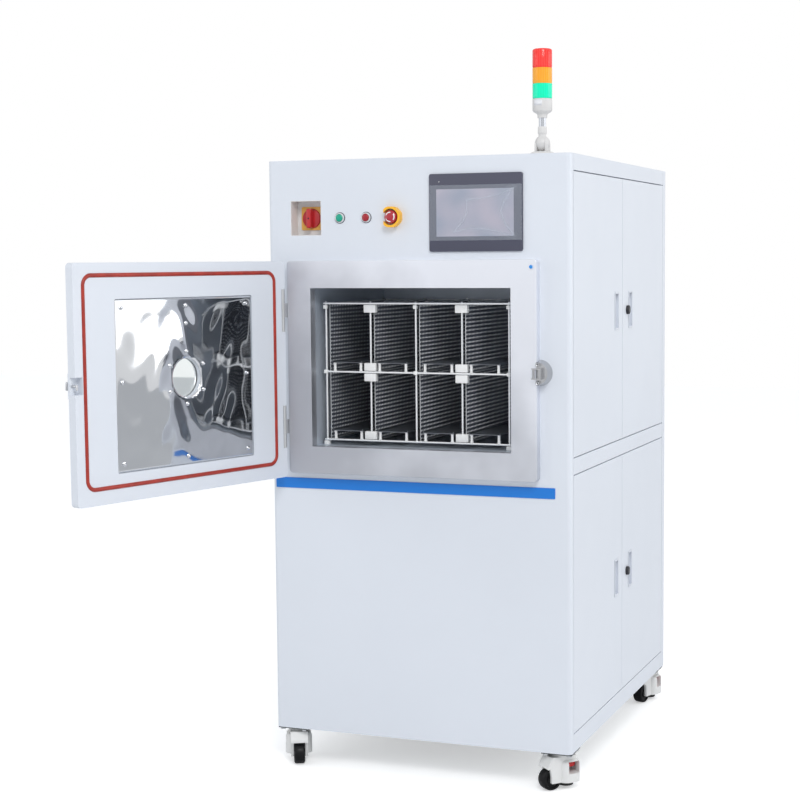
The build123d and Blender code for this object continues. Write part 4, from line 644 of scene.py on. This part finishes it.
# Main switch: a red rotary handle on a yellow plate at the back of a moulded off-white pocket.
# Its grip is a raised bar, and its lock hole in the middle is a thin black disc, a painted shade.
pocket_white = coated("pocket_white", (0.74, 0.73, 0.72), 0.5, 0.06)
dress("switch_pocket", pocket_white)
switch_yellow = coated("switch_yellow", (0.86, 0.47, 0.10), 0.38, 0.05)
knob_red, knob_shader = new_material("knob_red", (0.50, 0.012, 0.018), 0.28)
knob_shader.inputs["Coat Weight"].default_value = 0.3
bump_on(knob_red, knob_shader, noise_on(knob_red, 500.0), 0.05, 0.0002)
knob_low, knob_high = (Vector(p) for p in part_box("switch_knob"))
knob_x, knob_z = (knob_low.x + knob_high.x) / 2, (knob_low.z + knob_high.z) / 2
yellow_front, yellow_half = -0.5088, 0.0332
bm = bmesh.new()
rounded_plate(bm, (knob_x - yellow_half, yellow_front, knob_z - yellow_half),
              (knob_x + yellow_half, 0, knob_z + yellow_half), 0.004, 0.003, 0.0008)
turned(bm, [(0.031, 0.0), (0.031, 0.0012), (0.0295, 0.0016), (0.0288, 0.0016), (0.0288, 0.0)],
       (knob_x, yellow_front, knob_z), forward, 64)
add_piece(bm, "switch_plate", "root", switch_yellow, smooth=40)
bm = bmesh.new()
knob_back_y = -0.5090
turned(bm, [(0.0, 0.0065), (0.0235, 0.0065), (0.0262, 0.0058), (0.0277, 0.004), (0.028, 0.0), (0.0, 0.0)],
       (knob_x, knob_back_y - 0.0003, knob_z), forward, 64)
rounded_block(bm, (knob_x - 0.0072, knob_low.y, knob_z - 0.0275),
              (knob_x + 0.0072, knob_back_y - 0.004, knob_z + 0.0275), 0.0035, 4)
turned(bm, [(0.0, 0.0), (0.0049, 0.0), (0.0049, 0.0048), (0.0, 0.0048)],
       (knob_x, knob_back_y, knob_z), (0, 1, 0), 24)
# The lock hole is a thin black disc on the handle's face, a painted shade.
turned(bm, [(0.0, 0.0003), (0.0022, 0.0003), (0.0026, 0.0), (0.0, 0.0)],
       (knob_x, knob_low.y, knob_z), forward, 20, material=1)
add_piece(bm, "switch_handle", "main_switch", knob_red, recess_painted_shade, smooth=40, replaced=("switch_knob",))


# Push buttons: moulded caps in plated collars over a dark gasket, and a mushroom-headed emergency stop.
# The emergency stop stands in a yellow guard and carries three white turning marks.
collar_plate = brushed("collar_plate", (0.80, 0.80, 0.81), 0.16)
gasket_dark = grained("gasket_dark", (0.02, 0.022, 0.03), 0.6, 0.0, 500.0, 0.1)
start_green, start_shader = new_material("start_green", (0.0, 0.36, 0.24), 0.36)
stop_red, stop_shader = new_material("stop_red", (0.36, 0.004, 0.016), 0.36)
guard_yellow, guard_shader = new_material("guard_yellow", (0.98, 0.50, 0.02), 0.42)
for mat, shader in ((start_green, start_shader), (stop_red, stop_shader), (guard_yellow, guard_shader)):
    shader.inputs["Coat Weight"].default_value = 0.2
    bump_on(mat, shader, noise_on(mat, 600.0), 0.05, 0.0002)
front_y = -0.550
button_z = 1.5915
start_x, stop_x, emergency_x = -0.226, -0.1455, -0.065
bm = bmesh.new()
for x in (start_x, stop_x):
    turned(bm, [(0.0101, 0.0), (0.0101, 0.0052), (0.0112, 0.0062), (0.0128, 0.0060),
                (0.0143, 0.0030), (0.0145, 0.0008), (0.0101, 0.0008)],
           (x, front_y, button_z), forward, 48)
    turned(bm, [(0.0101, 0.0), (0.0101, 0.0009), (0.0156, 0.0009), (0.0158, 0.0), (0.0101, 0.0)],
           (x, front_y, button_z), forward, 48, material=1)
for x in (start_x, stop_x, emergency_x):
    turned(bm, [(0.0101, -0.036), (0.012, -0.036), (0.012, 0.0), (0.0101, 0.0), (0.0101, -0.036)],
           (x, front_y, button_z), forward, 32, material=1)
turned(bm, [(0.0101, 0.0), (0.0101, 0.002), (0.0145, 0.002), (0.0145, 0.0), (0.0101, 0.0)],
       (emergency_x, front_y, button_z), forward, 32, material=1)
guard_outer, guard_inner, guard_rise, guard_gap = 0.0308, 0.023, 0.022, 0.0198
outer = bmesh.ops.create_circle(bm, cap_ends=False, segments=8, radius=guard_outer,
                                matrix=Matrix.Rotation(radians(22.5), 4, "Z"))["verts"]
bmesh.ops.bevel(bm, geom=outer, offset=0.0065, segments=4, profile=0.5, affect="VERTICES", material=-1)
outer_count = len([e for e in bm.edges if e.is_wire])
bmesh.ops.create_circle(bm, cap_ends=False, segments=outer_count, radius=guard_inner)
ring_edges = [e for e in bm.edges if e.is_wire]
before = set(bm.faces)
bmesh.ops.bridge_loops(bm, edges=ring_edges)
ring_faces = [f for f in bm.faces if f not in before]
raised = bmesh.ops.extrude_face_region(bm, geom=ring_faces)["geom"]
raised_verts = [v for v in raised if isinstance(v, bmesh.types.BMVert)]
bmesh.ops.translate(bm, vec=(0, 0, guard_rise), verts=raised_verts)
guard_faces = [f for f in bm.faces if f not in before]
guard_geom = (guard_faces + list({e for f in guard_faces for e in f.edges})
              + list({v for f in guard_faces for v in f.verts}))
opened = bmesh.ops.bisect_plane(bm, geom=guard_geom, dist=1e-6, plane_co=(-guard_gap, 0, 0),
                                plane_no=(-1, 0, 0), clear_outer=True)["geom_cut"]
bmesh.ops.edgeloop_fill(bm, edges=[e for e in opened if isinstance(e, bmesh.types.BMEdge)])
guard_faces = [f for f in bm.faces if f not in before]
guard_points = list({v for f in guard_faces for v in f.verts})
guard_frame = Matrix(((1, 0, 0, emergency_x), (0, 0, -1, front_y), (0, 1, 0, button_z), (0, 0, 0, 1)))
bmesh.ops.transform(bm, matrix=guard_frame, verts=guard_points)
for f in guard_faces:
    f.material_index = 2
add_piece(bm, "button_bezels", "root", collar_plate, gasket_dark, guard_yellow, smooth=35,
          replaced=("button_collars",))

for name, x, mat in (("start", start_x, start_green), ("stop", stop_x, stop_red)):
    bm = bmesh.new()
    turned(bm, [(0.0, 0.0084), (0.0055, 0.0082), (0.0088, 0.0074), (0.0099, 0.0060),
                (0.00995, -0.030), (0.0, -0.030)], (x, front_y, button_z), forward, 40)
    add_piece(bm, f"{name}_cap", name, mat, smooth=40, replaced=(f"{name}_button",))

emergency_red, emergency_shader = new_material("emergency_red", (0.42, 0.012, 0.03), 0.25)
emergency_shader.inputs["Coat Weight"].default_value = 0.4
bump_on(emergency_red, emergency_shader, noise_on(emergency_red, 500.0), 0.05, 0.0002)
bm = bmesh.new()
turned(bm, [(0.0, 0.0226), (0.011, 0.0222), (0.0160, 0.0205), (0.0185, 0.0175), (0.0190, 0.0135),
            (0.0180, 0.0095), (0.0100, 0.0090), (0.00995, -0.029), (0.0, -0.029)],
       (emergency_x, front_y, button_z), forward, 56)
for turn in (-39, 81, 201):
    arm = bmesh.ops.create_grid(bm, x_segments=14, y_segments=1, size=0.5)["verts"]
    for v in arm:
        angle = radians(turn + (v.co.x + 0.5) * 78.0)
        radius = 0.0112 + (v.co.y + 0.5) * 0.0028
        lift = 0.0229 - 0.0011 * (v.co.y + 0.5)
        v.co = (emergency_x + radius * cos(angle), front_y - lift, button_z + radius * sin(angle))
    for f in {f for v in arm for f in v.link_faces}:
        f.material_index = 1
add_piece(bm, "emergency_head", "emergency", emergency_red, insulator_white, smooth=40,
          replaced=("emergency_stop",))


# Signal tower: three clear-moulded lenses on a warm grey lamp base, a polished tube and a folding foot.
# Fine ribs inside each lens spread its light, and a blank label is stuck to the lamp base.
tower_x, tower_y = 0.352, -0.490
tower_deck_z, tower_leg_z, tower_pivot = 1.7551, 1.7610, 1.785
tower_nut_z, tower_tube_z, lamp_base_z = 1.8110, 1.8285, 1.8534
tower_grey = coated("tower_grey", (0.70, 0.69, 0.68), 0.42, 0.05)


def lens_material(name, colour, pale):
    mat, shader = new_material(name, colour, 0.12)
    nodes, links = mat.node_tree.nodes, mat.node_tree.links
    place = nodes.new("ShaderNodeTexCoord")
    centre = nodes.new("ShaderNodeMapping")
    centre.inputs["Location"].default_value = (-tower_x, -tower_y, 0.0)
    around = nodes.new("ShaderNodeTexGradient")
    around.gradient_type = "RADIAL"
    links.new(place.outputs["Object"], centre.inputs["Vector"])
    links.new(centre.outputs["Vector"], around.inputs["Vector"])
    count = nodes.new("ShaderNodeMath")
    count.operation = "MULTIPLY"
    count.inputs[1].default_value = 2 * pi * 28
    links.new(around.outputs["Fac"], count.inputs[0])
    rib = nodes.new("ShaderNodeMath")
    rib.operation = "SINE"
    links.new(count.outputs[0], rib.inputs[0])
    spread = nodes.new("ShaderNodeMapRange")
    spread.inputs["From Min"].default_value = -1.0
    links.new(rib.outputs[0], spread.inputs["Value"])
    blend = nodes.new("ShaderNodeMix")
    blend.data_type = "RGBA"
    blend.inputs["A"].default_value = (*colour, 1.0)
    blend.inputs["B"].default_value = (*pale, 1.0)
    links.new(spread.outputs["Result"], blend.inputs["Factor"])
    links.new(blend.outputs["Result"], shader.inputs["Base Color"])
    shader.inputs["Specular IOR Level"].default_value = 0.25
    shader.inputs["Subsurface Weight"].default_value = 0.4
    shader.inputs["Subsurface Radius"].default_value = (0.012, 0.012, 0.012)
    return mat


lens_radius = 0.027
lenses = (("green_lens", (0.0, 0.86, 0.47), (0.01, 0.94, 0.58)),
          ("amber_lens", (0.98, 0.38, 0.02), (1.0, 0.46, 0.06)),
          ("red_lens", (0.96, 0.04, 0.035), (1.0, 0.09, 0.075)))
for node, deep, pale in lenses:
    low, high = (Vector(p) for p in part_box(node))
    height = high.z - low.z
    top_round = 0.005 if node == "red_lens" else 0.0010
    bm = bmesh.new()
    turned(bm, [(0.0, height), (lens_radius - top_round, height),
                (lens_radius - 0.3 * top_round, height - 0.3 * top_round),
                (0.0268, height - top_round), (0.0268, 0.0030), (0.0262, 0.0026), (0.0262, 0.0004),
                (0.0255, 0.0), (0.0, 0.0)], (tower_x, tower_y, low.z), steps=72)
    add_piece(bm, f"{node}_shell", "tower", lens_material(f"{node}_plastic", deep, pale), smooth=50,
              replaced=(node,))

tube_shine = brushed("tube_shine", (0.50, 0.52, 0.56), 0.25)
bm = bmesh.new()
turned(bm, [(0.0, 0.0), (0.0130, 0.0), (0.0134, 0.0010), (0.0134, 0.0080), (0.0152, 0.0110), (0.0245, 0.0165),
            (0.0268, 0.0200), (0.0268, 0.0505), (0.0262, 0.0512), (0.0, 0.0512)],
       (tower_x, tower_y, lamp_base_z), steps=64)
turned(bm, [(0.0, 0.0), (0.0120, 0.0), (0.0122, 0.0008), (0.0122, 0.0180), (0.0116, 0.0190), (0.0, 0.0190)],
       (tower_x, tower_y, tower_nut_z), steps=40)
turned(bm, [(0.0, 0.0), (0.0098, 0.0), (0.0098, 0.0280), (0.0, 0.0280)],
       (tower_x, tower_y, tower_tube_z), steps=40, material=1)
knuckle_radius, cap_radius = 0.0205, 0.0212
zone = [(sqrt(knuckle_radius ** 2 - h * h), h)
        for h in (-0.0110, -0.0080, -0.0040, 0.0, 0.0040, 0.0080, 0.0110)]
turned(bm, [(0.0, -0.0110), *zone, (0.0, 0.0110)], (tower_x, tower_y, tower_pivot), (1, 0, 0), 48)
turned(bm, [(0.0, 0.0), (0.0108, 0.0), (0.0108, 0.026), (0.0, 0.026)],
       (tower_x, tower_y, tower_pivot), steps=32)
add_piece(bm, "tower_lamp_base", "tower", tower_grey, tube_shine, smooth=40, replaced=("tower_stem",))
label_white = grained("label_white", (0.80, 0.81, 0.84), 0.4, 0.0, 300.0, 0.05, 0.0001)
bm = bmesh.new()
start_angle, sweep_angle = radians(-128.0), radians(52.0)
label_bottom, label_top = 1.8855, 1.9015
rail = [bm.verts.new((tower_x + lens_radius * cos(start_angle), tower_y + lens_radius * sin(start_angle), z))
        for z in (label_bottom, label_top)]
edge = bm.edges.new(rail)
bmesh.ops.spin(bm, geom=rail + [edge], cent=(tower_x, tower_y, 0), axis=(0, 0, 1), dvec=(0, 0, 0),
               angle=sweep_angle, steps=14, use_merge=False, use_duplicate=False)
label = add_piece(bm, "tower_label", "tower", label_white, smooth=60)
label_gauge = label.modifiers.new("gauge", "SOLIDIFY")
label_gauge.thickness = 0.0002

bm = bmesh.new()
turned(bm, [(0.0, 0.0), (0.0345, 0.0), (0.0345, 0.0024), (0.0322, 0.0046), (0.0270, 0.0072), (0.0235, 0.0080),
            (0.0, 0.0080)], (tower_x, tower_y, tower_deck_z), steps=64)
cap = [(sqrt(cap_radius ** 2 - h * h), h) for h in (0.0115, 0.0135, 0.0155, 0.0175, 0.0190)]
for side in (-1, 1):
    turned(bm, [(0.0, 0.0115), *cap, (0.0, 0.0190)], (tower_x, tower_y, tower_pivot), (side, 0, 0), 48)
    x1, x2 = sorted((tower_x + side * 0.0115, tower_x + side * 0.0176))
    rounded_block(bm, (x1, tower_y - 0.0172, tower_leg_z), (x2, tower_y + 0.0172, tower_pivot), 0.0012)
add_piece(bm, "tower_folding_foot", "root", tower_grey, smooth=40, replaced=("tower_foot",))


# Flush pulls and cam locks on the side doors: die-cast pulls with a satin plate, screwed at both ends.
# The locks have black plastic heads with a key slot.
pull_metal = grained("pull_metal", (0.70, 0.73, 0.79), 0.42, 0.15, 260.0, 0.08)
pull_shadow = grained("pull_shadow", (0.10, 0.11, 0.14), 0.5, 0.4, 300.0, 0.1)
side_x = 0.450
lock_black = grained("lock_black", (0.006, 0.007, 0.012), 0.45, 0.0, 400.0, 0.08)
upper_z, lower_z = 1.318, 0.520
front_pull_y, rear_pull_y, lock_y = -0.073, 0.089, 0.049
pulls = (("upper_front", front_pull_y, upper_z), ("upper_rear", rear_pull_y, upper_z),
         ("lower_front", front_pull_y, lower_z), ("lower_rear", rear_pull_y, lower_z))
for name, y, z in pulls:
    bm = bmesh.new()
    rounded_block(bm, (side_x - 0.0123, y - 0.0174, z - 0.0504),
                  (side_x + 0.0016, y + 0.0174, z + 0.0504), 0.0)
    mouth = [f for f in bm.faces if f.normal.x > 0.9 or f.calc_center_median().x > side_x]
    bmesh.ops.delete(bm, geom=mouth, context="FACES")
    bmesh.ops.reverse_faces(bm, faces=bm.faces[:])
    for f in bm.faces:
        f.material_index = 1 if f.calc_center_median().z > z + 0.03 else 0
    rim = ((y - 0.0220, y + 0.0220, z + 0.0500, z + 0.0565),
           (y - 0.0220, y + 0.0220, z - 0.0565, z - 0.0500),
           (y - 0.0220, y - 0.0170, z - 0.0520, z + 0.0520),
           (y + 0.0170, y + 0.0220, z - 0.0520, z + 0.0520))
    for y1, y2, z1, z2 in rim:
        rounded_block(bm, (side_x + 0.0001, y1, z1), (side_x + 0.0021, y2, z2), 0.0007)
    for dz in (-0.0532, 0.0532):
        turned(bm, [(0.0, 0.0016), (0.0018, 0.0013), (0.0026, 0.0004), (0.0027, 0.0), (0.0, 0.0)],
               (side_x + 0.0020, y, z + dz), (1, 0, 0), 20)
    add_piece(bm, f"{name}_pull", f"{name}_leaf", pull_metal, pull_shadow, smooth=30)
for name, z in (("upper", upper_z), ("lower", lower_z)):
    low, high = (Vector(p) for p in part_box(f"{name}_lock"))
    bm = bmesh.new()
    turned(bm, [(0.0, 0.0088), (0.0105, 0.0088), (0.0125, 0.0078), (0.0135, 0.0055), (0.0135, 0.0001),
                (0.0, 0.0001)], (side_x, lock_y, z), (1, 0, 0), 40)
    rounded_block(bm, (side_x + 0.0086, lock_y - 0.0009, z - 0.0045),
                  (side_x + 0.0090, lock_y + 0.0009, z + 0.0045), 0.0, material=1)
    turned(bm, [(0.0, 0.0), (0.0089, 0.0), (0.0089, 0.0280), (0.0, 0.0280)],
           (side_x, lock_y, z), (-1, 0, 0), 32, material=1)
    rounded_block(bm, (low.x + 0.003, lock_y - 0.008, z - 0.008), (low.x + 0.006, lock_y + 0.008, high.z),
                  0.001, 1, material=1)
    add_piece(bm, f"{name}_cam_lock", f"{name}_lock_cam", lock_black, screw_steel, smooth=40,
              replaced=(f"{name}_lock",))


# Casters: levelling casters with moulded white housings, black nylon wheels and a screw foot.
# A red thumbwheel behind the housing's windows turns the foot down to the floor.
caster_white = coated("caster_white", (0.78, 0.78, 0.77), 0.34, 0.05)
wheel_black, wheel_shader = new_material("wheel_black", (0.005, 0.005, 0.006), 0.38)
wheel_shader.inputs["Specular IOR Level"].default_value = 0.2
bump_on(wheel_black, wheel_shader, noise_on(wheel_black, 300.0), 0.08, 0.0003)
pad_black = grained("pad_black", (0.012, 0.012, 0.012), 0.6, 0.0, 220.0, 0.2, 0.0004)
thumb_red = grained("thumb_red", (0.50, 0.010, 0.012), 0.35, 0.0, 400.0, 0.08)
plate_zinc = coated("plate_zinc", (0.03, 0.04, 0.04), 0.55, 0.1)
dress("caster_plates", plate_zinc)
casters = (("front_left", -0.404, -0.498, -62.7), ("front_right", 0.404, -0.498, -131.3),
           ("rear_left", -0.404, 0.498, 75.0), ("rear_right", 0.404, 0.498, -105.0))
thumb_z, thumb_segments = 0.0700, 36
bolt_spread, bolt_z = 0.034, 0.1023
for corner, x, y, heading in casters:
    dress(f"{corner}_caster_housing", caster_white)
    turn = Matrix.Translation((x, y, 0)) @ Matrix.Rotation(radians(heading), 4, "Z")
    side = (turn.to_3x3() @ Vector((0, 1, 0))).normalized()
    hub = turn @ Vector((0.036, -0.016, 0.0315))
    bm = bmesh.new()
    turned(bm, [(0.0052, 0.0), (0.0150, 0.0), (0.0160, 0.0010), (0.0165, 0.0030), (0.0225, 0.0030),
                (0.0235, 0.0), (0.0265, 0.0), (0.0300, 0.0020), (0.0313, 0.0055), (0.0315, 0.0160),
                (0.0313, 0.0265), (0.0300, 0.0300), (0.0265, 0.0320), (0.0235, 0.0320),
                (0.0225, 0.0290), (0.0165, 0.0290), (0.0160, 0.0310), (0.0150, 0.0320),
                (0.0052, 0.0320), (0.0052, 0.0)], hub, side, 56)
    add_piece(bm, f"{corner}_wheel_tyre", f"{corner}_wheel", wheel_black, smooth=35,
              replaced=(f"{corner}_caster_wheel",))
    foot = turn @ Vector((-0.016, 0.0, 0.0))
    bm = bmesh.new()
    turned(bm, [(0.0, 0.0080), (0.0195, 0.0080), (0.0210, 0.0095), (0.0210, 0.0130), (0.0198, 0.0152),
                (0.0105, 0.0168), (0.0, 0.0170)], foot, steps=48)
    turned(bm, [(0.0, 0.0165), (0.0079, 0.0165), (0.0079, 0.0645), (0.0, 0.0645)],
           foot, steps=24, material=1)
    rim = bmesh.ops.create_cone(bm, segments=thumb_segments, radius1=0.0256, radius2=0.0256, depth=0.0118,
                                cap_ends=True,
                                matrix=Matrix.Translation(foot + Vector((0, 0, thumb_z))))["verts"]
    walls = [f for f in {f for v in rim for f in v.link_faces} if abs(f.normal.z) < 0.5]
    bmesh.ops.inset_individual(bm, faces=walls, thickness=0.0007, depth=0.0004)
    for f in bm.faces:
        if f.calc_center_median().z > 0.0638:
            f.material_index = 2
    add_piece(bm, f"{corner}_screw_foot", f"{corner}_foot", pad_black, screw_steel, thumb_red, smooth=30,
              replaced=(f"{corner}_caster_foot",))
bm = bmesh.new()
for corner, x, y, heading in casters:
    for dx in (-bolt_spread, bolt_spread):
        for dy in (-bolt_spread, bolt_spread):
            bmesh.ops.create_cone(bm, segments=6, radius1=0.0078, radius2=0.0078, depth=0.0052,
                                  cap_ends=True,
                                  matrix=Matrix.Translation((x + dx, y + dy, bolt_z)))
add_piece(bm, "caster_bolts", "root", screw_steel)


# Machinery inside, seen when the side doors stand open: the pump and its line, the radio-frequency
# generator, the matching box, the electrical plate and the gas panel, each in its maker's plain coat.
pump_grey = coated("pump_grey", (0.20, 0.23, 0.26), 0.45)
generator_black = coated("generator_black", (0.07, 0.075, 0.085), 0.5)
line_steel = brushed("line_steel", (0.68, 0.69, 0.70), 0.27)
board_zinc = brushed("board_zinc", (0.60, 0.61, 0.62), 0.38)
dress("vacuum_pump", pump_grey)
dress("vacuum_line", line_steel)
dress("rf_generator", generator_black)
dress("matching_box", generator_black)
dress("electrical_panel", board_zinc)
dress("gas_panel", line_steel)
